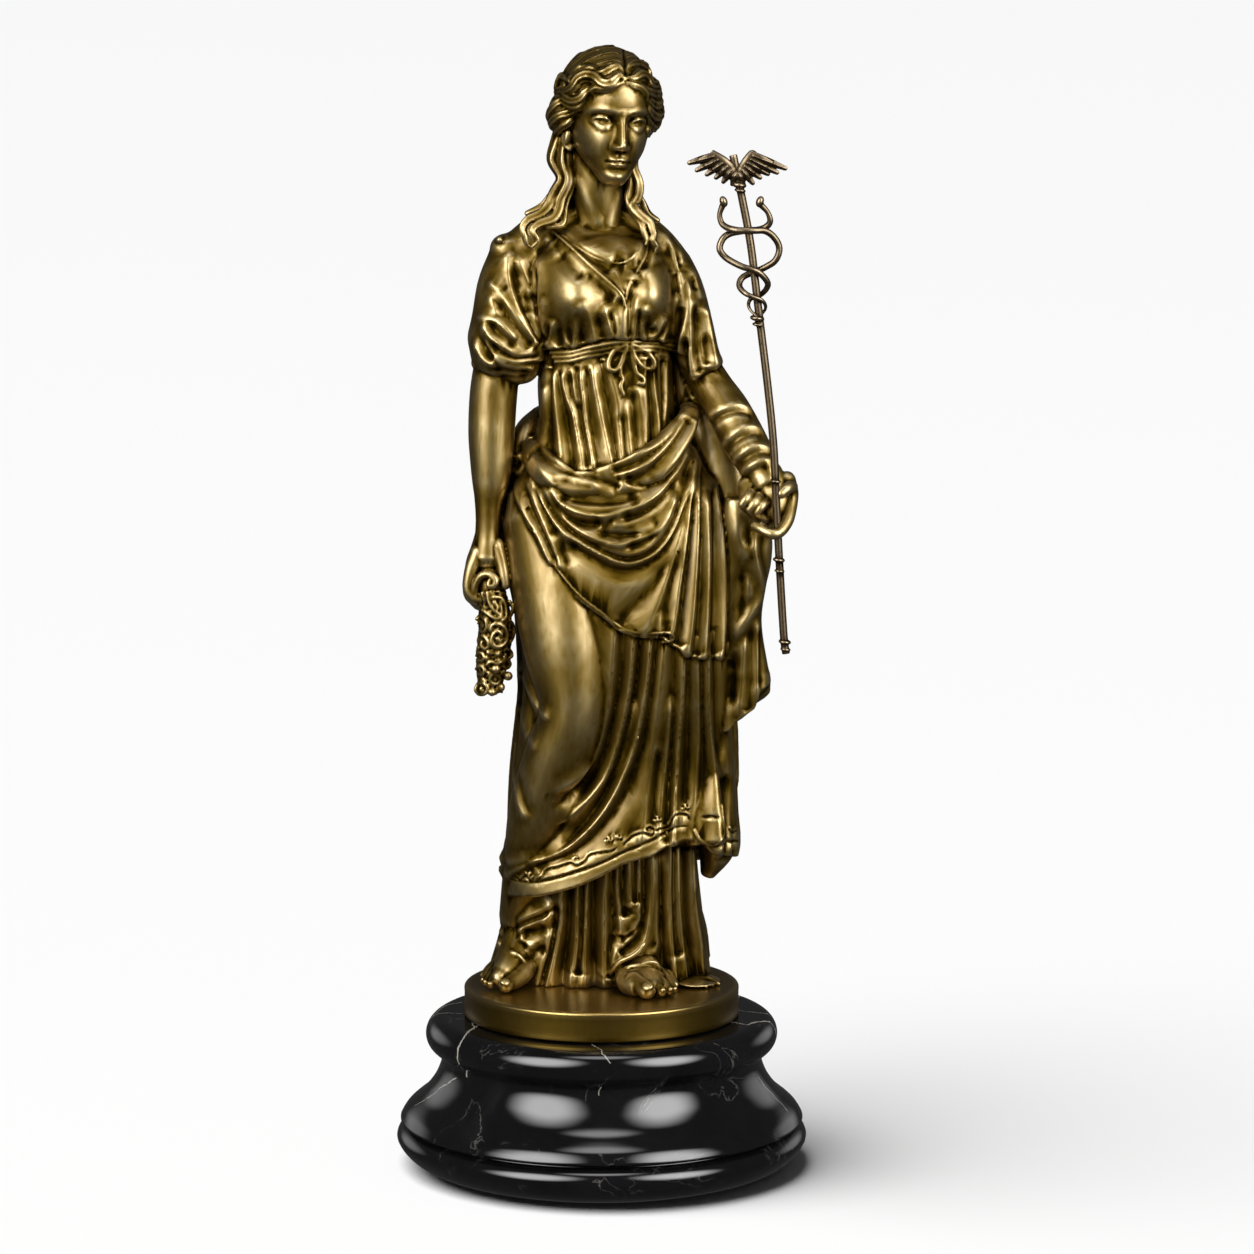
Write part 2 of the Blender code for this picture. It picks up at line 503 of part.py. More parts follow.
def folds():
    """The drawn folds: (kind, half width, height, fade in, fade out, eye, points)."""
    swag = ("fold", 7.5, 3.0, 0.15, 0.15, EYE)
    fall = ("fold", 6.0, 3.0, 0.1, 0.05, EYE)
    strokes = fan(swag, [(-28, 308), (-16, 298), (5, 292.5), (26, 301), (37, 316)],
                  [(-29, 306), (-14, 284), (9, 271.5), (30, 281), (41, 312)], 3)
    strokes += fan(("fold", 5, 2.4, 0.1, 0.2, EYE), [(-38, 314), (-33, 294), (-21, 270), (-9, 256), (2, 248)],
                   [(-29, 308), (-24, 292), (-14, 274), (0, 262), (10, 256)], 2)
    strokes += fan(fall, [(41, 322), (37, 290), (34, 262), (32, 243)], [(47, 322), (53, 300), (56, 262), (57, 232)], 4)
    strokes += fan(("fold", 6.5, 2.8, 0.1, 0.25, EYE), [(9, 238), (5, 212), (-3, 190), (-12, 177), (-22, 168)],
                   [(22, 236), (18, 205), (6, 170), (-12, 147), (-36, 136)], 3)
    strokes += fan(("fold", 6, 3.0, 0.05, 0, EYE), [(36, 230), (35, 205), (33, 175), (31, 149)],
                   [(46, 228), (47, 205), (50, 175), (52, 150)], 3)
    strokes += fan(("fold", 4.6, 2.0, 0.1, 0.3, EYE), [(-33, 240), (-32, 222), (-28, 208), (-21, 200)],
                   [(-33, 200), (-36.5, 178), (-35.5, 160), (-28, 153)], 3)
    strokes += fan(("fold", 4.6, 3.2, 0, 0, EYE), [(-17, 124), (-19, 108), (-22, 92), (-23, 80)],
                   [(42, 140), (43, 120), (45, 105), (47, 88)], 8)
    strokes += fan(("fold", 4.2, 2.0, 0.2, 0.1, EYE), [(-16, 361), (-17, 345), (-16, 330), (-18, 320)],
                   [(28, 362), (30, 345), (30, 335), (28, 328)], 6)
    strokes += fan(("fold", 4.5, 2.2, 0.1, 0.2, EYE), [(-22, 368), (-34, 380), (-44, 390), (-52, 397)],
                   [(-22, 363), (-34, 353), (-46, 352), (-57, 360)], 4)
    strokes += fan(("fold", 4, 2.0, 0.1, 0.2, EYE), [(-20, 415), (-10, 407), (0, 399.5), (9, 390)],
                   [(-16, 418), (-8, 412), (0, 408), (8, 405)], 2)
    strokes += fan(("fold", 4, 2.0, 0.1, 0.2, EYE), [(-25, 372), (-22, 380), (-14, 384), (-8, 385)],
                   [(8, 372), (5, 382), (3, 392), (0, 400)], 3)
    strokes += fan(("fold", 4.5, 2.2, 0.1, 0.2, EYE), [(30, 415), (36, 400), (42, 380), (47, 358)],
                   [(24, 415), (32, 395), (38, 372), (42, 352)], 2)
    strokes += fan(("bead", 3, 2.0, 0.05, 0.05, EYE), [(48, 335), (56, 339), (62, 341), (68, 338)],
                   [(59, 307), (64, 313), (69, 317), (76, 317)], 4)
    strokes.append(("bead", 3.2, 1.6, 0, 0, EYE, [(-16, 364.5), (0, 367.5), (12, 368), (30, 367)]))
    strokes.append(("bead", 2.6, 1.8, 0.1, 0.1, EYE, [(12, 368), (5, 363), (4, 358.5), (9, 360), (12, 367)]))
    strokes.append(("bead", 2.6, 1.8, 0.1, 0.1, EYE, [(12, 368), (20, 366), (22.5, 360.5), (17, 362), (12, 367)]))
    strokes += fan(("fold", 6, 2.6, 0.15, 0, BEHIND), [(-38, 300), (-40, 240), (-42, 180), (-44, 130)],
                   [(50, 300), (56, 240), (60, 180), (60, 140)], 8)
    strokes += fan(("fold", 8, 3, 0.1, 0.1, BEHIND), [(-30, 325), (0, 310), (20, 300), (48, 296)],
                   [(-26, 336), (0, 330), (20, 326), (44, 318)], 3)
    strokes += fan(("fold", 5, 1.8, 0.2, 0.1, BEHIND), [(-30, 410), (-20, 390), (-10, 375), (-6, 366)],
                   [(28, 408), (20, 390), (12, 375), (8, 366)], 5)
    strokes.append(("bead", 3.2, 1.6, 0, 0, BEHIND, [(-28, 366), (0, 367.5), (31, 368)]))
    # wavy locks combed back from the parting on both sides, drawn over the crown too
    for k in range(4):
        strokes.append(("fold", 3.6, 1.5, 0.1, 0.1, EYE, [(7 - k, 486 + 4 * k), (-4, 486 + 3.4 * k), (-13, 480 + 3 * k), (-20, 472 + 3 * k)]))
        strokes.append(("fold", 3.2, 1.5, 0.1, 0.1, EYE, [(12 + k, 487 + 3 * k), (18, 486 + 2.4 * k), (23, 481 + 2 * k), (26, 474)]))
    return strokes


# ---------------------------------------------------------------- finishing a solid
def thin(obj, triangles):
    """Facets a baked solid down to about so many triangles."""
    obj.data.calc_loop_triangles()
    decimate = obj.modifiers.new("facets", "DECIMATE")
    decimate.ratio = triangles / len(obj.data.loop_triangles)
    decimate.use_collapse_triangulate = True
    bake(obj)


def soften(obj, times):
    smooth = obj.modifiers.new("soften", "SMOOTH")
    smooth.factor = 0.5
    smooth.iterations = times
    bake(obj)


def largest(obj):
    """Keeps only the biggest connected shell."""
    bm = bmesh.new()
    bm.from_mesh(obj.data)
    seen_, groups = set(), []
    for start in bm.verts:
        if start in seen_:
            continue
        group, queue = [], [start]
        seen_.add(start)
        while queue:
            vert = queue.pop()
            group.append(vert)
            for edge in vert.link_edges:
                other = edge.other_vert(vert)
                if other not in seen_:
                    seen_.add(other)
                    queue.append(other)
        groups.append(group)
    groups.sort(key=len)
    for group in groups[:-1]:
        bmesh.ops.delete(bm, geom=group, context="VERTS")
    bm.to_mesh(obj.data)
    bm.free()


def stand(obj, height):
    """Cuts a solid off flat at a height, so that it stands."""
    bm = bmesh.new()
    bm.from_mesh(obj.data)
    everything = bm.verts[:] + bm.edges[:] + bm.faces[:]
    bmesh.ops.bisect_plane(bm, geom=everything, dist=1e-4, plane_co=(0, 0, height), plane_no=(0, 0, 1), clear_inner=True)
    rim = [edge for edge in bm.edges if edge.is_boundary]
    bmesh.ops.triangle_fill(bm, edges=rim, use_beauty=True, use_dissolve=False)
    bmesh.ops.recalc_face_normals(bm, faces=bm.faces)
    bm.to_mesh(obj.data)
    bm.free()


def combine(obj, meshes, operation):
    """Adds forms to a solid, or cuts them out of it."""
    for mesh in meshes:
        tool = bpy.data.objects.new("tool", mesh)
        bpy.context.scene.collection.objects.link(tool)
        boolean = obj.modifiers.new("tool", "BOOLEAN")
        boolean.operation = operation
        boolean.solver = "EXACT"
        boolean.object = tool
        bake(obj)
        bpy.data.objects.remove(tool)
        bpy.data.meshes.remove(mesh)
    return obj


def paint(obj, name, colour, rough, metal, coat=0.0):
    material = bpy.data.materials.new(name)
    material.use_nodes = True
    shader = material.node_tree.nodes["Principled BSDF"]
    shader.inputs["Base Color"].default_value = (*colour, 1)
    shader.inputs["Roughness"].default_value = rough
    shader.inputs["Metallic"].default_value = metal
    shader.inputs["Coat Weight"].default_value = coat
    obj.data.materials.clear()
    obj.data.materials.append(material)


def finish(obj, name):
    """Names a solid, shades it smooth and scales it from millimetres to metres."""
    obj.name = obj.data.name = name
    obj.data.transform(Matrix.Scale(0.001, 4))
    obj.data.shade_smooth()
    obj.data.set_sharp_from_angle(angle=math.radians(50))


# ---------------------------------------------------------------- pieces
def makeFigure():
    forms = drapery() + upperBody() + leftFist() + garland() + headAndHair() + feet()
    figure = fuse("figure", forms, CLAY)
    press(figure.data, folds())
    soften(figure, 2)
    largest(figure)
    co = coords(figure.data)
    top = co[:, 2].max()
    setCoords(figure.data, np.column_stack([co[:, :2], co[:, 2] + (HEAD_TOP - top) * np.clip((co[:, 2] - 440) / 60, 0, 1)]))
    thin(figure, FIGURE_TRIANGLES)
    stand(figure, FOOT_Z)
    hole = [(x, z, y, STAFF_R + STAFF_CLEARANCE) for x, z, y in STAFF if 266 < z < 335]
    combine(figure, [tube(hole, around=10, caps=(0.2, 0.2), steps=3)], "DIFFERENCE")
    largest(figure)
    co = coords(figure.data)
    co[np.argmax(co[:, 2]), 2] = HEAD_TOP
    setCoords(figure.data, co)
    paint(figure, "bronze", (0.23, 0.15, 0.05), 0.34, 1.0)
    finish(figure, "figure")


STAFF = [(57.8, 452, -34), (61.2, 436, -34.5), (65.6, 413, -35), (69.2, 384, -36), (73.2, 352, -37), (76, 325, -38),
         (77.3, 300, -38.5), (79, 270, -39), (80.9, 240, -40), (82, 231.5, -40)]
SERPENT = [(53.5, 430.5, -34), (52, 426, -34), (53.5, 421.5, -34.5), (59, 419.2, -38), (66, 419, -38.5), (73, 418.5, -36),
           (78, 412.5, -35), (76.5, 406, -35), (70, 402, -33), (62.5, 398.8, -33), (60.8, 394.5, -35), (64.5, 390.8, -38.5),
           (70.5, 388.5, -38), (72.3, 385, -35.5), (69.5, 381, -34)]
SERPENT_TWIN = [(69.8, 430.5, -34), (73, 427, -34), (74, 422.5, -33.5), (70, 419.5, -32), (63, 419, -32), (55, 417, -34),
                (52, 411.5, -35), (55, 407, -35.5), (62, 403.2, -38.5), (69, 400.8, -38.5), (73.3, 395.5, -36),
                (70, 390.8, -33), (65.5, 388.8, -33), (65.2, 384.8, -36), (69.5, 380.5, -38.5)]


def wing(side):
    """A short wing of two rows of feathers, spread from the staff. side is -1 or 1."""
    if side < 0:
        tips = [(38.7, 448.6), (42, 445.4), (46.4, 443.6), (50.4, 442.2), (53.6, 440.4), (57.5, 439.4)]
        roots = [(49, 451.4), (59, 444)]
    else:
        tips = [(80.6, 446.2), (77, 444.4), (73, 443.8), (69.6, 442.2), (66.4, 439.8), (62.4, 438.8)]
        roots = [(67, 451.6), (60.5, 444)]
    forms = []
    for (x, z), (tipX, tipZ) in zip(smoothPath(roots, 6), tips):
        rows = [(x, z, -34.6, 2.4), ((x + tipX) / 2, (z + tipZ) / 2, -34.8, 2.3), (tipX, tipZ, -34.4, 1.3)]
        forms.append(tube(rows, depth=0.42, around=10, steps=3))
    (x, z), (innerX, innerZ) = roots
    forms.append(tube([(x - side, z, -35, 2.6), ((x + innerX) / 2, (z + innerZ) / 2, -35, 3), (innerX, innerZ, -34.6, 2.2)],
                      depth=0.5, around=10))
    return forms


def makeStaff():
    forms = [tube([(*p, STAFF_R) for p in STAFF], around=12, caps=(0.05, 0.05), steps=4)]
    forms += [blob((57.3, 457.6, -34), (2.9, 2.9, 2.9), rings=8)]
    for x, z, y in ((57.9, 454, -34), (60.6, 438.8, -34.4), (68.9, 381, -36.1), (81.4, 236.5, -40)):
        forms.append(blob((x, z, y), (2.8, 2.8, 1.3), rings=7))
    forms += wing(-1) + wing(1)
    forms += [tube([(*p, SERPENT_R) for p in path], around=9, steps=3) for path in (SERPENT, SERPENT_TWIN)]
    for path in (SERPENT, SERPENT_TWIN):
        forms.append(blob(path[0], (1.8, 1.8, 2.0), rings=6))
    staff = fuse("caduceus", forms, 0.55)
    largest(staff)
    thin(staff, STAFF_TRIANGLES)
    paint(staff, "brown bronze", (0.13, 0.09, 0.05), 0.4, 1.0)
    finish(staff, "caduceus")


def turned(name, outline, around):
    """A solid turned round the Z axis from an outline of (radius, height), from the bottom up."""
    angle = np.linspace(0, 2 * math.pi, around, endpoint=False)
    rings = [[(r * math.sin(a), -r * math.cos(a), z) for a in angle] for r, z in outline]
    rings = [[(0, 0, outline[0][1])] * around] + rings + [[(0, 0, outline[-1][1])] * around]
    obj = bpy.data.objects.new(name, skin(name, rings))
    bpy.context.scene.collection.objects.link(obj)
    return obj


def arc(centre, radii, start, end, count):
    turn = np.radians(np.linspace(start, end, count))
    return [(centre[0] + radii[0] * math.cos(a), centre[1] + radii[1] * math.sin(a)) for a in turn]


def makeSocle():
    outline = [(SOCLE_FOOT_R, 0), (SOCLE_FOOT_R + 5.5, 1.1), (82.4, 3.5), (88.4, 7.5), (91.2, 11)]  # lower torus, rolled well under
    outline += arc((SOCLE_R - 10.5, 13.4), (10.5, 7.2), 0, 58, 4)
    outline += [(87.4, 19.8), (87.0, 20.7), (89.8, 21.1), (90.3, 22.2)]  # a quirk and a fine fillet
    outline += [(88.2, 25.6), (83.6, 30), (77.6, 35.8), (73.2, 43.4)]  # the bell
    outline += [(SOCLE_NECK_R, 49)]
    outline += arc((SOCLE_TOP_R - 8.5, 60.2), (8.5, 8.3), -58, 84, 7)  # upper torus
    outline += [(SOCLE_TOP_R - 9, SOCLE_H)]
    socle = turned("marble_socle", outline, AROUND)
    paint(socle, "black marble", (0.012, 0.012, 0.014), 0.12, 0.0, 0.5)
    finish(socle, "marble_socle")


def makePlinth():
    low, high = SOCLE_H + GAP, SOCLE_H + GAP + PLINTH_H
    edge = PLINTH_EDGE
    outline = [(PLINTH_R - 0.5, low), (PLINTH_R, low + 0.5), (PLINTH_R, high - edge)]
    outline += [(PLINTH_R - 0.3 * edge, high - 0.3 * edge), (PLINTH_R - edge, high)]
    plinth = turned("bronze_plinth", outline, AROUND)
    paint(plinth, "plinth bronze", (0.22, 0.145, 0.05), 0.32, 1.0)
    finish(plinth, "bronze_plinth")


for old in list(bpy.data.objects):
    bpy.data.objects.remove(old, do_unlink=True)
makeSocle()
makePlinth()
makeFigure()
makeStaff()
for spare in list(bpy.data.meshes):
    if not spare.users:
        bpy.data.meshes.remove(spare)
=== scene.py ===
import math
import random

import bmesh
import bpy
import numpy as np
from mathutils import Matrix, Vector
from mathutils.bvhtree import BVHTree


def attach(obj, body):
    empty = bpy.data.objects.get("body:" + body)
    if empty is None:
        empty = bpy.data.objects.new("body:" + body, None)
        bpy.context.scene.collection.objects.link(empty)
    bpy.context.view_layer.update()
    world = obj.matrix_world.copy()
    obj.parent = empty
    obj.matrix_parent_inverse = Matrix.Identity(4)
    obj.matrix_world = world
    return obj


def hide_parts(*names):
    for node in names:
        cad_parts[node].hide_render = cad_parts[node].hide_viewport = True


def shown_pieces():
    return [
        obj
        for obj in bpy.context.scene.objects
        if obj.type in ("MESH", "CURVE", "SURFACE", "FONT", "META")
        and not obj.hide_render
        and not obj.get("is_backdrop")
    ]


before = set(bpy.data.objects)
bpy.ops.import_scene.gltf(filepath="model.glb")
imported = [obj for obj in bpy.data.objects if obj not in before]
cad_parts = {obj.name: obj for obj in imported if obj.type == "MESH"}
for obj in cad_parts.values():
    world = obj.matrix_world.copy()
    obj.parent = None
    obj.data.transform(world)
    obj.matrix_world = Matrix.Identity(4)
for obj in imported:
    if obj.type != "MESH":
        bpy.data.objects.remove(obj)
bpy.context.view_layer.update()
print("goddess: frame loaded")

# everything is laid out in millimetres, front to -Y, and scaled to metres when a piece is finished
sizes = {
    "socleTop": 68.5,
    "plinthRadius": 61.5,
    "plinthHeight": 13.4,
    "gap": 0.3,
    "headTop": 499.9,
    "staffRadius": 1.75,
    "play": 0.35,
    "serpentRadius": 1.4,
    "eye": Vector((11.4, -2150, 559)),  # the front is drawn on the plane y = 0 as seen from here
    "behind": Vector((0, 2150, 420)),  # and the back from here
}
front, behind = sizes["eye"], sizes["behind"]
footHeight = sizes["socleTop"] + 2 * sizes["gap"] + sizes["plinthHeight"]


def seen(x, z, y):  # the place at depth y that the eye sees behind (x, z) of the plane y = 0
    k = 1 - y / front.y
    return (front.x + (x - front.x) * k, y, front.z + (z - front.z) * k)


def smoothPath(points, count):
    p = np.asarray(points, float)
    ends = np.vstack([2 * p[0] - p[1], p, 2 * p[-1] - p[-2]])
    t = np.linspace(0, len(p) - 1, count)
    i = np.minimum(t.astype(int), len(p) - 2)
    f = (t - i)[:, None]
    a, b, c, d = ends[i], ends[i + 1], ends[i + 2], ends[i + 3]
    cubic = (2 * a - 5 * b + 4 * c - d) * f**2 + (3 * b - a - 3 * c + d) * f**3
    return 0.5 * (2 * b + (c - a) * f + cubic)


def places(numbers, width=2):
    # numbers written one after another, cut into places
    return np.asarray(numbers, float).reshape(-1, width)


def unit(vectors):
    return vectors / np.linalg.norm(vectors, axis=1)[:, None]


def meshOf(bm, name):
    mesh = bpy.data.meshes.new(name)
    bm.to_mesh(mesh)
    bm.free()
    return mesh


def changed(mesh, work):
    # one round of bmesh operators on a mesh
    bm = bmesh.new()
    bm.from_mesh(mesh)
    work(bm)
    bm.to_mesh(mesh)
    bm.free()


def edgesOf(mesh):
    edges = np.empty(len(mesh.edges) * 2, np.int32)
    mesh.edges.foreach_get("vertices", edges)
    return edges.reshape(-1, 2)


def coords(mesh):
    co = np.empty(len(mesh.vertices) * 3, np.float32)
    mesh.vertices.foreach_get("co", co)
    return co.reshape(-1, 3).astype(float)


def normals(mesh):
    no = np.empty(len(mesh.vertices) * 3, np.float32)
    mesh.vertex_normals.foreach_get("vector", no)
    return no.reshape(-1, 3).astype(float)


def setCoords(mesh, co):
    mesh.vertices.foreach_set("co", co.reshape(-1).astype(np.float32))
    mesh.update()


def skin(rings):
    # a grid from the operator, laid over the rings and closed at its seam and its two end points
    rings = np.asarray(rings, float)
    rows, around = rings.shape[:2]
    bm = bmesh.new()
    bmesh.ops.create_grid(bm, x_segments=around, y_segments=rows - 1, size=1)
    mesh = meshOf(bm, "skin")
    setCoords(mesh, np.concatenate([rings, rings[:, :1]], axis=1).reshape(-1, 3))

    def close(bm):
        bmesh.ops.remove_doubles(bm, verts=bm.verts, dist=1e-4)
        bmesh.ops.dissolve_degenerate(bm, edges=bm.edges, dist=1e-5)
        bmesh.ops.recalc_face_normals(bm, faces=bm.faces)

    changed(mesh, close)
    return mesh


def tube(rows, around=20, caps=(1, 1), depth=1, steps=8, ripple=None):
    # rows are x, z, y, radius as seen; ripple is (how many, how high, turns) of flutes along it
    rows = places(rows, 4)
    body = smoothPath(rows, steps * len(rows))
    centre = np.array([seen(*row[:3]) for row in body])
    return limb(centre, np.maximum(body[:, 3], 0.05), around, caps, depth, ripple)


def limb(centre, radius, around=20, caps=(1, 1), depth=1, ripple=None, facing=None):
    step = unit(np.gradient(centre, axis=0))
    outward = np.array([[0, -1, 0]] * len(centre)) if facing is None else facing
    side = np.cross(step, -outward)
    weak = np.linalg.norm(side, axis=1) < 0.3
    side[weak] = np.cross(step[weak], [0, 0, 1])
    side = unit(side)
    ahead = np.cross(side, step)
    angle = np.linspace(0, 2 * math.pi, around, endpoint=False)
    rings = []
    last = len(centre) - 1
    rounding = (0, 0.3, 0.6, 0.85)  # how wide the rings of an end cap are
    for k in range(len(centre)):
        flute = 1 + 0 * angle
        if ripple:
            flute = 1 + ripple[1] * np.cos(ripple[0] * angle + ripple[2] * 2 * math.pi * k / last)
        across = np.outer(np.cos(angle) * flute, side[k]) + np.outer(np.sin(angle) * flute * depth, ahead[k])

        def cap(way, length):
            # the rings that round off an end
            reach = way * step[k] * radius[k] * length
            return [centre[k] + reach * math.sqrt(1 - c * c) + radius[k] * c * across for c in rounding]

        if k == 0:
            rings += cap(-1, caps[0])
        rings.append(centre[k] + radius[k] * across)
        if k == last:
            rings += cap(1, caps[1])[::-1]
    return skin(rings)


def blob(place, radii, turn=(0, 0, 0), rings=14):
    bm = bmesh.new()
    bmesh.ops.create_uvsphere(bm, u_segments=2 * rings, v_segments=rings, radius=1)
    matrix = Matrix.Translation(seen(*place))
    for degrees, axis in zip(turn[::-1], "ZYX"):
        matrix = matrix @ Matrix.Rotation(math.radians(degrees), 4, axis)
    bmesh.ops.transform(bm, matrix=matrix @ Matrix.Diagonal((*radii, 1)), verts=bm.verts)
    return meshOf(bm, "blob")


class Cloth:
    # cloth round a body: rows are height, left, right, front, back; 0 degrees is the front, 90 is +X
    def __init__(self, rows, square=2.3, wave=None):
        table = smoothPath(places(rows, 5), 200)
        self.table = table[np.argsort(table[:, 0])]
        self.square = square
        self.wave = wave

    def at(self, angle, z):
        left, right, fore, back = (np.interp(z, self.table[:, 0], self.table[:, k]) for k in (1, 2, 3, 4))
        turn = np.radians(angle)
        wide, deep = (right - left) / 2, (back - fore) / 2
        r = np.abs(np.sin(turn) / wide) ** self.square + np.abs(np.cos(turn) / deep) ** self.square
        r = r ** (-1 / self.square)
        if self.wave is not None:
            r = r + self.wave(angle, z)
        x, y = (left + right) / 2 + r * np.sin(turn), (fore + back) / 2 - r * np.cos(turn)
        return np.stack([x, y, z + 0 * turn], axis=-1)

    def edge(self, drawn, around, hidden):
        # the heights of an edge drawn across the front, and listed by degrees behind
        drawn, hidden = places(drawn), places(hidden)
        angle = np.linspace(-180, 180, around, endpoint=False)
        z = np.full(around, drawn[:, 1].mean())
        for _ in range(8):
            place = self.at(angle, z)
            k = 1 - place[:, 1] / front.y
            x = front.x + (place[:, 0] - front.x) / k
            z = front.z + (np.interp(x, drawn[:, 0], drawn[:, 1]) - front.z) * k
        rear = (angle > hidden[0][0]) | (angle < hidden[-1][0] - 360)
        z[rear] = np.interp(angle[rear] % 360, hidden[:, 0], hidden[:, 1])
        for _ in range(2):
            z = (np.roll(z, 1) + 2 * z + np.roll(z, -1)) / 4
        return z

    def skin(self, top, hem, down=90, lip=None, around=220):
        around = len(hem) if np.ndim(hem) else around
        angle = np.linspace(-180, 180, around, endpoint=False)
        share = np.linspace(0, 1, down)[:, None]
        heights = top * (1 - share) + (np.asarray(hem) + np.zeros(around)) * share
        cloth = self.at(angle[None, :] + 0 * heights, heights)
        low = cloth[-1]
        centre = low.mean(0)
        rings = [np.broadcast_to(cloth[0].mean(0), low.shape)] + list(cloth)
        if lip:
            inward = unit((low - centre) * [1, 1, 0])
            rings.append(low - inward * lip[0] * 0.6 - np.array([0, 0, lip[0] * 0.2]))
            rings.append(low - inward * lip[0])
            rings.append(low - inward * lip[0] * 1.3 + np.array([0, 0, lip[1]]))
            centre = centre + np.array([0, 0, lip[1]])
        rings.append(np.broadcast_to(centre, low.shape))
        return skin(rings)


def linked(data, name):
    obj = bpy.data.objects.new(name, data)
    bpy.context.scene.collection.objects.link(obj)
    return obj


def bake(obj):
    graph = bpy.context.evaluated_depsgraph_get()
    baked = bpy.data.meshes.new_from_object(obj.evaluated_get(graph))
    obj.modifiers.clear()
    old, obj.data = obj.data, baked
    bpy.data.meshes.remove(old)


def fuse(name, meshes, grain):
    bm = bmesh.new()
    for mesh in meshes:
        bm.from_mesh(mesh)
        bpy.data.meshes.remove(mesh)
    obj = linked(meshOf(bm, name), name)
    remesh = obj.modifiers.new("clay", "REMESH")
    remesh.mode = "VOXEL"
    remesh.voxel_size = grain
    remesh.adaptivity = 0
    bake(obj)
    print(name, "fused:", len(obj.data.polygons), "faces")
    return obj


def soften(obj, times, factor=0.5):
    smooth = obj.modifiers.new("soften", "SMOOTH")
    smooth.factor = factor
    smooth.iterations = times
    bake(obj)


def thin(obj, triangles):
    decimate = obj.modifiers.new("thin", "DECIMATE")
    obj.data.calc_loop_triangles()
    decimate.ratio = min(1, triangles / len(obj.data.loop_triangles))
    decimate.use_collapse_triangulate = True
    bake(obj)
    print(obj.name, "thinned:", len(obj.data.polygons), "triangles")


def profile(kind, t):
    if kind == "fold":  # a crest between long scooped flanks
        return np.clip(1.05 - np.sqrt(t * t + 0.0025), 0, 1) ** 1.55
    if kind == "bead":
        return np.sqrt(np.clip(1 - t * t, 0, 1))
    return 0.5 + 0.5 * np.cos(np.pi * np.clip(t, 0, 1))  # soft


def distanceTo(line, co):
    best = np.full(len(co), 1e9)
    along = np.zeros(len(co))
    for k in range(len(line) - 1):
        start, d = line[k], line[k + 1] - line[k]
        s = np.clip(((co - start) @ d) / max(d @ d, 1e-9), 0, 1)
        gap = np.linalg.norm(co - start - s[:, None] * d, axis=1)
        near = gap < best
        best[near] = gap[near]
        along[near] = (k + s[near]) / (len(line) - 1)
    return best, along


def drawnOn(obj, drawn, eye):
    line, depth = [], 0
    for x, z in drawn:
        flat = Vector((x, 0, z))
        found, hit = obj.ray_cast(eye, (flat - eye).normalized())[:2]
        if not found:  # past the outline the line stays at the depth of the point before
            hit = obj.closest_point_on_mesh(eye + (flat - eye) * (1 - depth / eye.y))[1]
        depth = hit.y
        line.append(tuple(hit))
    return np.array(line)


def nearFinder(co):
    order = np.argsort(co[:, 2])
    sortedZ = co[order, 2]

    def find(line, box, reach):
        # which vertices lie within reach of a line, how far off, and how far along it
        low, high = line.min(0) - box, line.max(0) + box
        slab = order[np.searchsorted(sortedZ, low[2]) : np.searchsorted(sortedZ, high[2])]
        near = slab[((co[slab, :2] > low[:2]) & (co[slab, :2] < high[:2])).all(1)]
        gap, along = distanceTo(line, co[near])
        keep = gap < reach
        return near[keep], gap[keep], along[keep]

    return find


def eased(along, length, fadeIn, fadeOut):
    # 0 at the two ends of a line, 1 between its fades
    ends = np.clip(np.minimum(along * length / max(fadeIn, 1e-3), (1 - along) * length / max(fadeOut, 1e-3)), 0, 1)
    return ends * ends * (3 - 2 * ends)


def press(obj, strokes):
    # raises or sinks strokes all at once: (kind, half width, height, fade in, fade out, eye, points)
    co, no = coords(obj.data), normals(obj.data)
    up, down = np.zeros(len(co)), np.zeros(len(co))
    find = nearFinder(co)
    for kind, width, height, fadeIn, fadeOut, eye, drawn in strokes:
        if len(drawn[0]) == 2:
            line = drawnOn(obj, smoothPath(drawn, 5 * len(drawn)), eye)
        else:
            line = np.array([seen(*p) for p in smoothPath(drawn, 5 * len(drawn))])
        near, gap, along = find(line, width * 1.1, width * 1.05)
        ends = eased(along, 1, fadeIn, fadeOut)
        lift = height * profile(kind, gap / (width * (0.35 + 0.65 * ends))) * ends
        if height > 0:
            up[near] = np.maximum(up[near], lift)
        else:
            down[near] = np.minimum(down[near], lift)
    setCoords(obj.data, co + no * (up + down)[:, None])


def laid(obj, drawn, radius, sunk=0.3, around=14):
    # a cord laid on the surface along a drawn line
    line = smoothPath(drawnOn(obj, drawn, front), 26 + 4 * len(drawn))
    line[:, 1] += radius * sunk
    for _ in range(6):
        line[1:-1] = (line[:-2] + 2 * line[1:-1] + line[2:]) / 4
    return limb(line, np.full(len(line), radius), around)


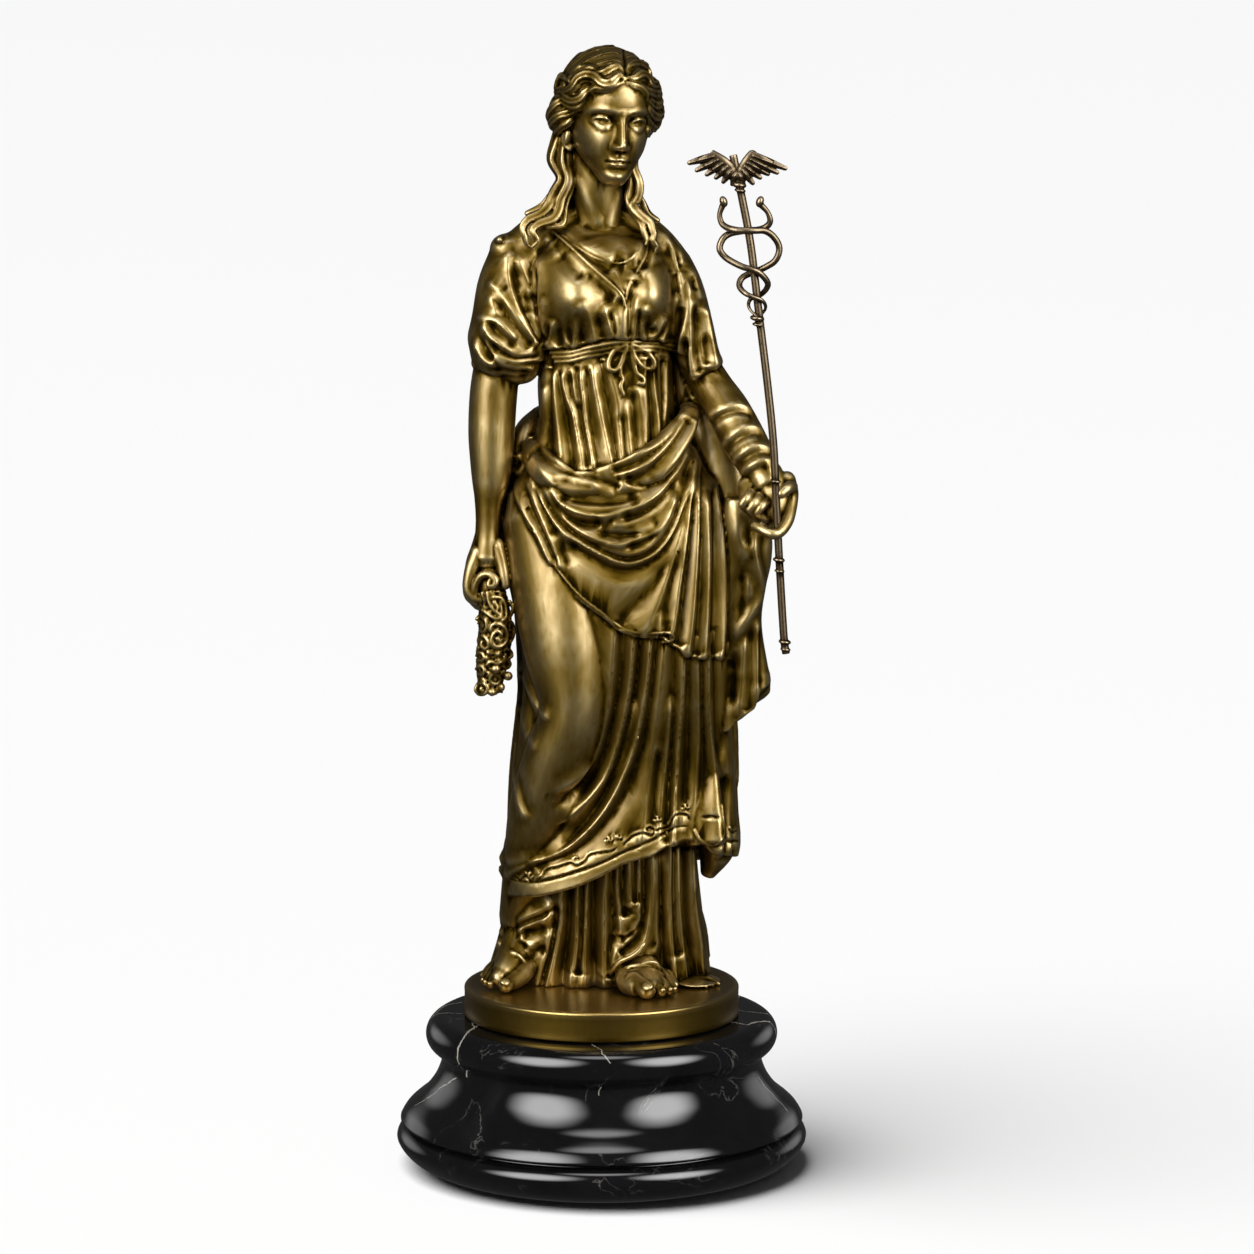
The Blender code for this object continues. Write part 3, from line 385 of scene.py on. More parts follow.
def drape(obj, lines, reach=8, rest=5):
    # cloth drawn tight over crests and into hollows: each place takes the mean of the lines round it,
    # the nearest counting most
    co, no = coords(obj.data), normals(obj.data)
    weight = np.full(len(co), 1 / rest)
    value = np.zeros(len(co))
    find = nearFinder(co)
    for height, fadeIn, fadeOut, drawn in lines:
        line = drawnOn(obj, smoothPath(drawn, 4 * len(drawn)), front)
        length = np.linalg.norm(np.diff(line, axis=0), axis=1).sum()
        near, gap, along = find(line, reach, reach)
        ends = eased(along, length, min(fadeIn, 0.45 * length), min(fadeOut, 0.45 * length))
        ends *= np.clip(0.2 - 1.3 * no[near, 1], 0, 1)  # little on the flanks, so that the outline stays
        pull = ends * (1 - gap / reach) ** 2 / np.sqrt(gap**2 + (0.5 if height > 0 else 0.6))
        weight[near] += pull
        value[near] += pull * height * ends
    setCoords(obj.data, co + no * (value / weight)[:, None])


def fan(stroke, first, last, count):
    # strokes spread evenly between two drawn lines
    a, b = smoothPath(places(first), 9), smoothPath(places(last), 9)
    return [(*stroke, a * (1 - t) + b * t) for t in np.linspace(0, 1, count)]


# the goddess, layer by layer
clay = {
    # grids in mm: the body, the mass under the chest, the small forms, the trim, the whole casting
    "grain": 0.5,
    "massGrain": 1.3,
    "smallGrain": 0.36,
    "trimGrain": 0.3,
    "castGrain": 0.38,
    "triangles": (198000, 60000),  # full and quick
    # height, left, right, front, back of each layer, and edges as x,z in front and degrees,z behind
    "underskirt": [160,-36,40,-12,38, 140,-38,41.5,-12,39, 120,-41,43.5,-11,41, 100,-46,46,-10,44, 86,-50,48,-10,46,
        74,-51,49,-10,46],
    "skirt": [338,-26,34,-13,29, 326,-29,39,-16,32, 314,-34,47,-21,35, 305,-38,52,-26,39, 288,-38.5,56,-29,42,
        265,-38,57.5,-30,43, 240,-36.5,58.5,-30,43, 215,-36,58.5,-27,44, 195,-38.5,59.5,-23,46, 178,-41,61,-21,47,
        158,-42,62,-22,47, 142,-41.5,63,-25,47, 128,-44,60,-27,47, 114,-42,56,-27,46],
    "torso": [300,-33,44,-25,34, 312,-31.5,41,-24,33, 324,-29.5,36.5,-21.5,31, 335,-27.5,33,-19,29,
        352,-28,31.5,-17.5,27, 366,-26,31,-16.5,26, 372,-26,31,-17,26, 380,-29,32,-18,27],
    "blouse": [372.5,-28,32.5,-19.5,28, 380,-30,33.5,-20,29, 390,-32,34.5,-18.5,30, 400,-33,34,-15.5,29,
        409,-31,31,-10.5,27, 416,-26,26,-5.5,24, 422,-20,19,-1.5,21, 428,-13,11.5,1.5,17, 436,-10,9,3,15],
    "hanging": [190,49,75.6,-9,13, 218,49,75.4,-9,13, 226,49,74,-9.4,12, 240,49,71.6,-10,11, 250,49,71.2,-11,10,
        262,50,73,-12,9, 272,51,75,-13,8, 282,51,75.6,-14,7, 290,52,74,-15,5, 297,53,70,-15,3, 303,55,64,-14,0],
    "hangingEdge": [50,196, 56,195.6, 58,197.4, 60,200, 65,204, 69.4,207.2, 70.4,214.6, 72,215.4, 75.4,218.6],
    "hem": [-46,124, -43,122.5, -30,121.5, -20,123.5, -10,126.5, 0,131, 8,135.5, 15,138, 23,140, 29,144, 35,147,
        44,148, 50,142, 58,140, 64,140],
    "hemBehind": [100,139, 128,131, 150,127, 180,124, 225,122, 258,122],
    "apronEdge": [-42,308, -38,299, -30,284, -20,267, -10,255, 0,248, 8,241.4, 15,239, 22,238.6, 28,238.4, 31,235.4,
        36,233, 39.4,229.8, 45,229.2, 51,230, 56,229, 60,229.5],
    "apronBehind": [98,231, 135,246, 180,268, 225,292, 262,309],
    "blouseEdge": [-30,366.5, -20,367, -10,368, -4,370.5, 2,371, 6,372, 12,371.5, 20,371.5, 28,370, 36,369],
}


def pleats(number, height, low, high):
    def wave(angle, z):
        turn = np.radians(angle)
        back = np.clip((np.abs(angle) - 70) / 30, 0, 1)
        reach = np.clip((high - z) / (high - low), 0, 1)
        flute = np.cos(number * turn + 0.6 * np.sin(3 * turn)) + 0.35 * np.cos((2 * number + 3) * turn)
        return height * reach * back * (flute - 1.2)

    return wave


def layers():
    # every layer of cloth before it is folded, from the skin outwards
    def rippled(angle, z):
        return 1.4 * np.cos(np.radians(angle) * 18 + 1) * np.clip((np.abs(angle) - 50) / 30, 0, 1)

    under = Cloth(clay["underskirt"], wave=rippled)
    skirt = Cloth(clay["skirt"], wave=pleats(15, 1.6, 120, 320))
    apron = Cloth([(z, a - 1.3, b + 1.2, c - 2.4, d + 2.4) for z, a, b, c, d in places(clay["skirt"], 5)],
                  wave=pleats(11, 1.4, 225, 330))
    torso = Cloth(clay["torso"], square=2.2)
    hanging = Cloth(clay["hanging"], square=2.6)
    hem = skirt.edge(clay["hem"], 260, clay["hemBehind"])
    apronEdge = apron.edge(clay["apronEdge"], 260, clay["apronBehind"])
    return {
        "under": [under.skin(160, 74)],
        "skirt": [
            skirt.skin(330, hem, lip=(2.6, 7), down=140),
            # the bent right leg presses through the cloth
            tube([-22,292,4,23, -17,262,-6,23, -14,232,-14,20, -13,206,-19,14.5, -19,185,-14,15.5, -26,160,-6,15.5,
                -32,135,2,12, -37,112,10,9], around=48),
            # the lowest corner behind the right side, and the rolled folds of the hem
            tube([51,176,24,8, 52,158,24,9, 51.4,144,24,8.6, 47.4,131.6,24,3.4], depth=0.8, caps=(0.3, 0.4),
                 around=36),
            tube([44,214,2,3, 44.6,196,-3,4.4, 45.6,178,-7.6,6, 46.6,162,-11.4,7.6, 47.4,149,-13.6,8.6,
                47.6,146.4,-14,8.6],
                 caps=(1, 0.12), depth=0.72, around=40),
        ],
        "apron": [apron.skin(336, apronEdge, lip=(2.2, 4), down=120)],
        "torso": [torso.skin(380, 303)],
        "band": [
            # the mantle's upper edge is turned over into a broad band from hip to hip
            tube([-20,330,21,4, -26,328,14,6, -28.4,323,1,7, -23.6,313,-16.5,7.6, -14,308,-22.4,5.8, -4,307,-24.6,5.2,
                8,305,-25.2,3.6, 19,304.6,-24.4,1.8], depth=0.55, around=40),
            tube([-3,311.8,-23.6,1.4, 7,312.6,-24.4,4, 17,314,-24,7.4, 26.4,320,-21,7.8, 33.4,328.4,-16,6.4,
                38,335.4,-9.6,5, 39,340.6,-2,4.2, 36,342,7,3.6, 30,340,14,3], depth=0.55, around=40),
        ],
        "hanging": [
            # cloth that hangs from the left forearm
            hanging.skin(302, hanging.edge(clay["hangingEdge"], 150, [100,214, 180,202, 262,196]), down=110),
        ],
        "forearm": [
            tube([42,362,3,8.4, 49.4,350,0,8.8, 56,340,-6,9.5, 62.5,328,-13,9.7, 68,318,-20,9, 72.5,309,-26,7.4],
                 around=40),
        ],
    }


def chest():
    # chest, shoulders and sleeves flow into one another
    blouse = Cloth(clay["blouse"], square=2.2)
    return [
        blouse.skin(436, blouse.edge(clay["blouseEdge"], 200, [100,368, 180,369, 262,367])),
        blob((-41.5, 411, 5), (7.6, 8, 7), rings=20),
        blob((3, 402, 1), (27, 14.5, 17), rings=24),
        tube([-2,428,10,9, -14,424,9.5,9.5, -24,418.6,8.6,10, -32,411,8,11.2, -38.4,402,7,12.6, -40,393,6,14],
             around=40),
        tube([-2,428,10,9, 9,424,9.5,9.2, 17,418,8.6,9.4, 24,411,8,10, 29.6,403,7,10.4, 34,393,6,10.7], around=40),
        tube([-38,409,8,11, -40,395,6,14.5, -40,381,3,17, -40.5,370,2,18.5, -42,360,1,15.5],
             caps=(0.6, 0.55), depth=0.9, around=48),
        tube([30,405,8,9.6, 34.5,393,6,10.7, 38.6,377,3,10.8, 43,364,0,9.4, 46.8,357,-2,8.6], caps=(0.6, 0.15),
             around=44),
        # the sleeve's cloth hangs on behind the arm to the hip
        tube([35,388,11,9, 39.6,368,11,9.6, 43.6,350,9,9.8, 48.6,331,5,9.8, 54,313,1,9, 58.6,298,-1,8], depth=0.6,
             around=40),
    ]


bosoms = [(-12.6, 391, 12, 16, 10.5, 6.6), (24.4, 391.4, 10.6, 15, 10.5, 6.8)]  # x, z, half width, up, down, height


def swell(obj, humps):
    co, no = coords(obj.data), normals(obj.data)
    for x, z, wide, up, down, height in humps:
        place = np.array(seen(x, z, -20))
        tall = np.where(co[:, 2] > place[2], up, down)
        away = ((co[:, 0] - place[0]) / wide) ** 2 + ((co[:, 2] - place[2]) / tall) ** 2
        co[:, 1] -= height * np.exp(-away) * np.clip(-no[:, 1] * 1.6, 0, 1) * (co[:, 1] < 2)
    setCoords(obj.data, co)


def rightArm():
    return [
        blob((-44.4, 415, 0), (1.8, 3, 1.8), (0, 28, 0)), blob((-51.6, 381.4, 1), (3.4, 5.4, 3.2)),
        blob((-54.2, 361, 1), (3, 6, 3.4)),
        # dark cloth behind the gap between body and left sleeve
        tube([32,384,12,6, 34.4,368,11,6.8, 36.8,352,10,7.6, 40.4,338,8,7, 44,326,6,5], around=28, depth=0.7),
        # the right arm hangs
        tube([-45,364,2,10.2, -47.3,348,2,10.5, -48.3,331,1,10.3, -48.4,318,0,9.5, -48.8,308,-1,8.2, -49.6,299,-2,6.3,
            -50,290,-3,5.5, -50.3,281,-4,6, -50.6,275,-4,7], around=40),
        # cloth twisted into a knot behind the arm
        tube([-27,338,18,4, -33,331,12,5, -36,322,8,4.5, -35,316,4,3.6], around=28),
        tube([-38.6,316,3,2, -35.6,319.4,0,2, -33,316.6,-2,2, -35.6,312.6,0,2, -38.6,314,3,2], around=16),
        tube([-37,312,6,4, -38.6,300,6,4.4, -38,288,6,4], around=28),
    ]


def leftHand():
    # the palm behind the rod, three closed fingers, the first finger hooked under it and the thumb over it
    forms = [
        tube([73,312,-25,7, 76,304,-29,7.4, 77,297,-31,7, 77,291,-32,5], depth=0.75, around=32),
        tube([82,309,-27,4, 84,303,-30,3.2, 83.6,296,-34,2.8, 82.2,290.5,-38,2.7, 79,286,-41.5,2.6, 75.5,285,-43,2.4,
            71,287,-41,2.2, 68,288.6,-38.5,2]),
        tube([84,306,-30,3, 82.5,305.5,-36,2.7, 79.5,303,-38.5,2.5], around=20),
        tube([66,306,-24,6, 66.5,299,-30,4.6, 68.5,293,-31,3.6], around=24),
    ]
    for x, z, tipX, tipZ in ((66.2, 303.6, 62.2, 298), (70, 302, 65.6, 295.8), (73.2, 300, 68.8, 294.6)):
        forms.append(tube([(x, z, -34, 2.1), ((x + tipX) / 2, (z + tipZ) / 2, -37.5, 2.15), (tipX, tipZ, -38, 1.9)],
                          caps=(0.6, 0.5)))
        forms.append(tube([(tipX, tipZ, -38, 1.8), (tipX + 3.5, tipZ - 3, -35.5, 1.8),
                           (tipX + 7, tipZ - 2, -33, 1.7)]))
    return forms


folds = {
    # layer and group, then rows of a height and points drawn from the front, as x,z:
    # crests stand out, hollows have a minus, and the cloth is drawn tight between them
    ("chest", "sleeve"): [
        (1.7, -41,412, -41,403, -39.5,393, -36,384, -31,375, -26.5,368),
        (1.4, -37.5,410, -35,403, -32,396, -31,389), (1.2, -29.2,412, -29,404, -29.3,396, -29.4,389),
        (1.4, -27.2,411, -27,400, -27,390, -26,380, -24.5,374, -23.4,367),
        (1.1, -24.2,392, -25.8,386, -26,379, -24,371), (1, -20,381, -21.5,376, -23,370, -23.5,366.5),
        (1.7, -51,397.5, -46.5,394.4, -43,390, -38.5,383.5, -34,377, -30,371.5, -27,368),
        (1.1, -48,396.4, -44,394.8, -40.6,392.4), (1.3, -49.5,395, -48,389, -46.5,384, -46.5,380.5),
        (1.6, -56,381.5, -51.5,380.2, -47,379.6, -43.5,377.5, -40,374, -36.5,369.5),
        (1.7, -54.5,378.5, -51,376.5, -48.5,372.5, -45,369.5, -41.5,367, -37.5,364.2, -32,364.8, -27,365.6),
        (1.5, -57,373, -54.6,368, -51.6,363, -48,360.6, -45,360.4),
        (1.3, -52.6,374.6, -49.5,368.5, -47,364.5, -44,361, -39,359, -33,358.4, -28,358.6),
        (1.1, -48,366.5, -44,363.7, -39,362, -33,361.8, -26,362.4, -22,363.8),
        (1.4, -58,362, -56,357.5, -53,354.8, -49,353, -45,352.4, -40.6,352.8),
        (1.4, -44,350.6, -35,351.4, -29.5,355, -25,359, -21,362.5, -16,365.3),
        (-1.9, -39,407, -37,396, -34.4,387, -31.6,379.5, -28.6,372.5, -25.8,368.4),
        (-1.6, -33.6,396, -32.6,388, -31,381), (-0.7, -28.2,404, -28,396, -28.3,388, -27.6,380),
        (-1.3, -22.6,380, -23.6,374, -25,369), (-1.3, -48,390, -43,384, -38.4,378, -33,371.6, -29.6,368),
        (-1.1, -51,379, -48,377, -45.6,374, -41,370.6, -37,366.6),
        (-2, -55,374.6, -51.6,369, -48.8,364, -46.5,362.3),
        (-1.7, -50.6,372, -47,367.4, -43,364.6, -38,362.9, -32,363.1, -26,364),
        (-1.7, -51,357.8, -44,357.5, -37,356.9, -30,357.4), (-1.3, -49,354.8, -42,354.4, -36,354.3, -31,356),
        (-1.3, -37,360.2, -28,360.4, -23,361.6, -19,363),
    ],
    ("chest", "neckline"): [
        (1.1, -20,419.5, -10,413.5, -3,410, 2,407.4, 6.4,405.4),
        (1.7, -20,417, -14,412, -8,406.6, -2,401, 3,396, 7,391.5, 10,388),
        (0.7, -15,410.4, -9.4,405.2, -4,401.2, 1,396), (1, -24.6,417, -20,411, -17,407),
        (-1, -21.6,413.6, -17,408, -12,402.6, -6,396.6), (-1.2, -7,401, -1.6,396, 2.6,391, 6,386),
        (-0.6, -12,412.4, -5,407.2, 1,402.6, 4,399.4), (1.3, 21,419, 17.6,412, 14.5,407.5, 11.5,405.6, 9,405.4),
        (1.1, 17,401.4, 13,395.5, 10.6,390.4), (1.1, 22.8,414, 22.7,407, 20.5,401, 16.4,398),
        (-1, 21,414, 20.2,407, 17,401), (-1.2, 15.6,397.4, 13.5,392, 12.8,386, 12.6,379, 12.6,364),
    ],
    ("chest", "bust"): [
        (1.1, -10.4,389, -8.6,386, -6,382, -4.2,377, -3.6,371, -3.1,366),
        (1.4, -11.4,384, -10.8,377, -11.5,371, -12,367, -12.6,362),
        (0.9, -17,376, -15.4,371, -13.4,368, -10.4,363), (1.4, 0.3,388, 2.3,382, 4,376, 5.6,371.6, 7.4,366.6),
        (1.1, 4.8,386, 6.8,380, 7.4,375, 7,371.8, 6.4,366.8),
        (1.6, 9.6,389, 9.5,381, 9.3,375, 8.6,371, 7.7,366), (1.4, 11,391, 11,383, 10.8,376, 10.7,371, 10.6,366),
        (-1.9, -8.4,382, -9,374, -8.5,368.6, -8,363.6), (-1, -14.2,384, -14.4,376, -14,370, -13.7,365),
        (-1.7, -2.2,384, -0.6,377, 0.6,372, 1.8,367), (-1.5, 3,386, 5.2,379, 5.6,374, 6,369),
        (-1.3, -19,384, -18.6,376, -18,369, -17.6,364), (1.3, 15.9,392, 15.6,384, 14.8,377, 14.4,372, 14,367),
        (1.6, 20.4,388, 18.4,383, 18,376, 18.6,372.2, 19.4,367.2),
        (1.5, 19,371.8, 21.6,372, 24.4,374.4, 26.6,378.4, 28.8,383), (1, 30.2,382, 28.8,376, 27,371, 25.2,366),
        (1.2, 33.4,393, 33.4,389, 31.9,384, 31.5,377, 31.4,371, 31.3,366),
        (-1.5, 16.9,386, 16.6,380, 16.4,374, 16.2,369), (-1.4, 21.6,384, 20.8,378, 21.8,375.2, 24,377),
        (-1.3, 29.3,380, 27.4,375, 25.2,371, 22.4,366),
    ],
    ("chest", "leftSleeve"): [
        (1, 26,422, 30.4,412, 34,402.6, 35.4,394, 35.6,384), (0.6, 31,418, 34.5,411, 35.6,404),
        (-1.3, 28,415, 31,407, 33,400), (-1.2, 33.4,411, 34.4,405, 34.4,400),
        (-2.2, 33,404, 34,397, 35,388, 34.4,380, 33,372, 32.6,362),
        (1.7, 37.4,401, 38.2,391, 38,385, 36.8,378, 35,371, 34.4,364),
        (1.8, 38.6,392, 39,383, 39.2,373, 39.5,363, 41,355, 44,350),
        (1.7, 44,350, 47,353.2, 50,356.2, 53.5,356.4, 56,356),
        (1.7, 45,388, 46.6,380, 48,372, 49.4,365, 50.6,357.6), (-1.7, 41.4,388, 41.8,376, 42.2,364, 43.6,356),
        (-1.2, 45,376, 45.8,367, 46.4,359), (-2.2, 37.2,373, 36.8,362, 37.4,352),
        (0.8, 39.6,406, 42,396, 44,388), (-0.7, 40.4,400, 41.4,392),
    ],
    ("torso", "midriff"): [
        (1.2, -20.6,359.2, -20.3,348, -19.4,338, -18.3,329, -16.6,312),
        (1.6, -16.4,359.3, -16.5,353, -14.5,345, -12,339, -10.5,331, -9,324, -8,317, -7.4,312),
        (1.6, -8.7,360.7, -8.6,352, -7.6,344, -7.2,337, -6,330, -5,325.5, -2.6,312),
        (1.6, -4,361.7, -3,352, -1,343, 0.5,335, 2.4,326, 4.4,317.5, 5.4,312),
        (1.1, 1.4,362.7, 3,358, 6,349, 7.4,343, 8,336, 9.6,312),
        (0.9, 17,352, 17,345, 18.5,337, 18.6,330, 18.8,312),
        (1.2, 19.6,364, 19.6,362, 19.3,350, 19.8,340, 19.6,333, 19.1,312),
        (1.4, 21.8,363.9, 22,362, 23,350, 24.6,340, 26,328.5, 27.6,312),
        (1.3, 28.5,363.1, 28.5,363, 28.4,352, 28.4,345, 27.4,334, 25.8,312),
        (0.9, 25.2,363.7, 25.2,363, 25.4,355, 25.8,348, 27.4,312),
        (0.9, 30.7,362.9, 30.8,361, 31.5,352, 32.8,342, 35.9,312),
        (-1.6, -13.7,359.4, -13.2,348, -10.4,341, -8.8,333, -7.6,326, -5.7,312),
        (-1.3, -11.1,360.1, -10.6,352, -9.6,344, -6.4,312),
        (-1.6, -6.4,361.2, -6,348, -5.2,338, -3.8,329, -1.7,312),
        (-1.6, 0,362.4, 0,362, 1.4,350, 3,342, 4.6,334, 6,327, 8.4,312),
        (-1.3, 20.6,363.9, 20.9,358, 21.4,348, 22.2,338, 23.9,312),
        (-1.2, 26.6,363.4, 26.7,358, 26.8,350, 26.8,342, 26.8,312),
        (-1.3, -18.5,359.3, -18.2,350, -16.6,342, -15,332, -12.4,312),
        (-1.5, -22.6,359.2, -22.6,358, -23,345, -23,332, -23,312), (0.9, -25,352, -26,340, -27,333, -29.4,312),
        (0.9, -12.5,359.7, -12.4,356, -11.6,348, -10,341), (0.8, 11,346, 11.6,336, 12.6,325, 14,314),
        (-0.8, 13.6,350, 14.4,338, 15.4,326, 16.6,316), (-0.8, 8.4,340, 9.6,328, 11,314),
    ],
    ("band", "waist"): [
        (1.5, -30,328, -25,322.6, -20,318, -15,314.8, -9,312.6, -2,312, 4,310, 10,307.4, 16,305, 22,304.4),
        (-1.4, -29,324.6, -24,319, -18.4,314.4, -12,311.4, -5,310, 2,308.4, 9,305.6),
        (1.3, -31,321, -26.6,314, -21,308, -15,304, -8,302, 0,301.6, 8,302.2),
        (0.7, -20.6,307.4, -19,310.4, -14,310.6, -7,308.8, -3,306.6, -5,304, -11,303.4, -17,304.6, -20.6,307.4),
        (1.7, -4,312.4, 3,314.6, 10,317.6, 17,320.6, 22,322.6, 27,326, 32.6,332, 36.4,338.4, 37,342),
        (1.5, 20,304.6, 25,309.4, 30,315, 35,322, 39.6,330, 41.4,337),
        (1.2, 4,311, 12,312.6, 19,315.6, 26,321.4, 32.4,329, 37,337),
        (-1.4, 4,312.6, 12,315, 19,318.4, 26,323.8, 31.6,330, 36,337),
        (-1.4, 10,309.2, 17,310.4, 23,314.6, 29,321, 35,329.4, 39,337),
    ],
    ("apron", "swags"): [
        (1.2, -17,301.6, -13,298.3, -6,296.8, 2,296.6, 10,297.6, 17,300.4),
        (-1.6, -20,302, -12,299.8, 0,299, 10,299.8, 18,302.6),
        (2.3, -25,312, -19,300.4, -14,296.4, -8,294, -2,293, 3,293.2, 10,295.4, 18,298, 26,303.5, 32,311, 36,318,
         38.6,326),
        (-2.1, -23.6,304, -18,294.6, -11,290.4, -4,289.4, 2,290),
        (1.3, 3,291.6, 7.5,288.8, 12,289.6, 20,293.4, 27,299, 33,308),
        (-1.6, 8,291.6, 15,292.6, 22,296, 29,302.6, 34.6,311),
        (1, 0,286.8, 8,286.6, 15,286.2, 21,287.4, 26,291), (-1.6, -4,286.6, 4,285, 12,284.8, 19,285.6),
        (1.8, -27,311, -21,299, -14,290, -6,284.5, 2,281.2, 8,280.2, 14,282, 22,284.6, 27,288.8, 31,296, 33.6,305),
        (-1.5, 9,278.8, 15,279.8, 21,282.6, 26,286.8),
        (1.2, -4,281, 4,277.6, 11,275.8, 18,277.6, 24,282, 29,290, 32.4,299),
        (-1.9, -27.4,304, -21,294, -14,286.8, -7,281.6, 0,278, 7,274.8, 13,274, 19,275.4, 25,279.8, 30,286.6, 34,296,
         37,307, 38.8,318),
        (2.5, -32,315, -28,304, -22,293, -16,286, -10,282, -4,278.4, 2,275, 8,272.6, 13,272, 18,273.4, 24,276.6,
         29,282, 33,289, 36,297, 39,306, 41,316, 41.6,329),
        (-1.9, -16,282, -10,277.6, -3,273.4, 4,269.6, 10,268.4, 17,269.6, 23,273, 28.6,279, 33,287, 36.6,297,
         39.6,308),
        (-0.9, -17,284, -16.4,275, -14,268),
        (1.9, -38,316, -37.6,304, -35,298, -31,290.6, -28,286, -24,277, -20,268.6),
        (-1.5, -34.6,309, -31.4,297, -27.6,288.6, -23,279, -18.6,270.6),
        (1.3, -33,312, -29.6,301, -26,292, -22.4,283, -19.6,275, -15,267),
        (-1.3, -30,311, -26.6,299, -22.6,290, -19,283),
    ],
    ("apron", "apron"): [
        (2.2, 39.6,318, 39.9,305, 38.4,291, 36.6,277, 34.4,262, 33,250, 31.4,241, 30,233),
        (1.1, 37.4,296, 33.4,279, 28.4,263, 23.6,250, 20,242, 16.4,234),
        (0.8, 27,254, 26,248, 25.6,242, 25.1,234), (-1.4, 31,276, 23,262, 14,252, 9,246, 2.3,238),
        (-0.9, 34.6,280, 31,264, 29,252, 28.4,244, 27.8,236),
        (-2.4, 40.6,306, 39.9,290, 38.2,272, 36.4,256, 35,243, 34,236, 32.9,228),
        (1.8, 41.8,331, 42.6,308, 42.7,290, 42.1,276, 41.2,262, 40.2,248, 38.4,233, 37.4,225),
        (-2, 44.4,318, 44.7,292, 44.5,270, 43.8,250, 42,230, 41.3,222),
        (1, 47,306, 47.6,280, 47.4,258, 46,230, 45.6,222),
        (-1.8, 49.4,310, 50.4,286, 50.5,262, 49.5,230, 49.2,222),
        (2.2, 43.6,336, 48,318, 50.4,305, 52,292, 53.4,276, 54,258, 53.4,240, 52,229, 51,221),
        (-1.6, 53,308, 56,285, 56.6,262, 56.2,231, 56.1,223), (1.3, 56,306, 58,285, 58.8,262, 58.2,231, 58,223),
    ],
    ("skirt", "knee"): [
        (1.2, -36.4,232, -34.6,221, -31,212, -27,206, -22,200.6), (-1.2, -35,224, -33.4,213, -31,204, -28,197),
        (0.8, -36,214, -35.4,204, -33,195, -28,187), (0.7, -38.6,184, -38.4,172, -36.4,162, -32,154.4),
        (-0.7, -36.8,182, -36.4,172, -34,163, -29,157),
    ],
    ("skirt", "longSweeps"): [
        (1.5, 6.7,254, 5.8,240, 4.6,222, 3.8,210, 1.4,198, -1,190, -5,182, -11,175.6, -18,171, -25,168),
        (-3, 10.2,254, 9.4,240, 8.4,222, 6.2,208, 3.4,196, 0.4,186, -4,177, -9,170.4, -16,164.8, -24,160.6),
        (2.1, 15.6,254, 14.6,240, 13.6,226, 12.4,214, 9.8,200, 6.6,188, 2.6,177, -2,170, -8,163.4, -15,157.6,
         -23,153),
        (-3, 18.8,254, 17.6,240, 16,222, 13.4,206, 10.2,192, 6.2,180, 1,168.6, -5,159, -12,150.6, -20.3,140.6),
        (0.6, 15.4,212, 12.2,198, 8.4,185.6, 3.4,174),
        (2.7, 23.1,254, 22,240, 20.6,222, 19,210, 16.8,198, 14,187, 10.4,178, 6.4,169, 1,160, -6,151.4, -14,144,
         -23,139, -34,136, -50.5,126),
        (-1.9, 26.4,254, 25,240, 23.6,226, 22,212, 19.6,197, 16.4,184, 11,170, 4,158, -5,147.6, -15,140.8, -26,136.8,
         -42.5,126.8),
        (1.2, 29.3,250, 28,236, 26,214, 23.8,195, 21.6,178, 20,165, 18.4,150, 17.3,140),
        (-0.9, 25.8,190, 24,172, 22.8,156, 22.1,146), (1, 31.4,214, 29,188, 27,170, 25.8,154, 25.1,144),
        (-2, 33.6,246, 33.2,232, 32.6,212, 31.6,192, 30.4,174, 29.4,153, 28.9,143),
        (2.4, 37,246, 36.4,232, 35.6,212, 34.2,195, 33,176, 32.2,160, 31.8,148, 31.5,138),
        (-1.7, 38.8,244, 38.8,230, 38.8,210, 38.4,190, 37.8,170, 37.6,158),
        (1.2, 42.5,242, 42.6,228, 42.8,208, 42.8,190, 41.6,170, 40.6,149, 40.1,139),
        (-1.6, 44.6,244, 44.8,230, 45.1,208, 45.4,192, 45,176, 45.4,160),
        (2, 46.7,244, 46.8,230, 47,210, 48,194, 49.8,178, 51.4,162, 52.6,146, 52.8,138),
        (-2, 51.1,240, 51.4,226, 51.8,205, 52.4,190, 53.6,178),
        (1.1, 55.7,240, 56,226, 56.6,200, 57.6,175, 58.4,148, 58.7,138),
        (-1.4, 55,178, 55.6,162, 56,146, 56.2,136), (0.9, -43.6,138.6, -38,136.6, -32,136.4, -23,126.4),
    ],
    ("under", "underPleats"): [
        (2.2, -17.3,136, -17.6,126, -18,112, -19.4,103, -21,95, -23,86, -25.6,78, -27.6,72),
        (1.2, -22.4,108, -24.6,97, -28,84, -29,78, -30,72),
        (-2.6, -20.6,120, -21,108, -23,97, -26,87, -27.4,78, -28.3,72),
        (-3.2, -13.8,134, -14.4,124, -15.4,106, -16.6,96, -17.8,86, -18,77, -18.1,71),
        (2.2, -10.8,137, -10.8,127, -10.8,112, -11,100, -11.8,92, -13.6,84, -14,77, -14.3,71),
        (2.2, -6.3,138, -6.6,128, -7,112, -7.6,100, -8,92, -7.6,84, -7,77, -6.5,71),
        (-2.2, -8.7,137, -8.8,127, -9,110, -9.4,100, -10.2,91.6, -10.8,85.6),
        (-3.4, -4,139, -4,129, -4,112, -3.7,98, -3.4,86, -3.2,77, -3.1,71),
        (2, 2,142, 1.8,132, 1.5,116, 1.3,102, 1.2,92, 1.2,77, 1.2,71),
        (-1.6, 4.8,142, 4.8,132, 4.8,120, 5,110, 4,100, 3.4,90, 3,84),
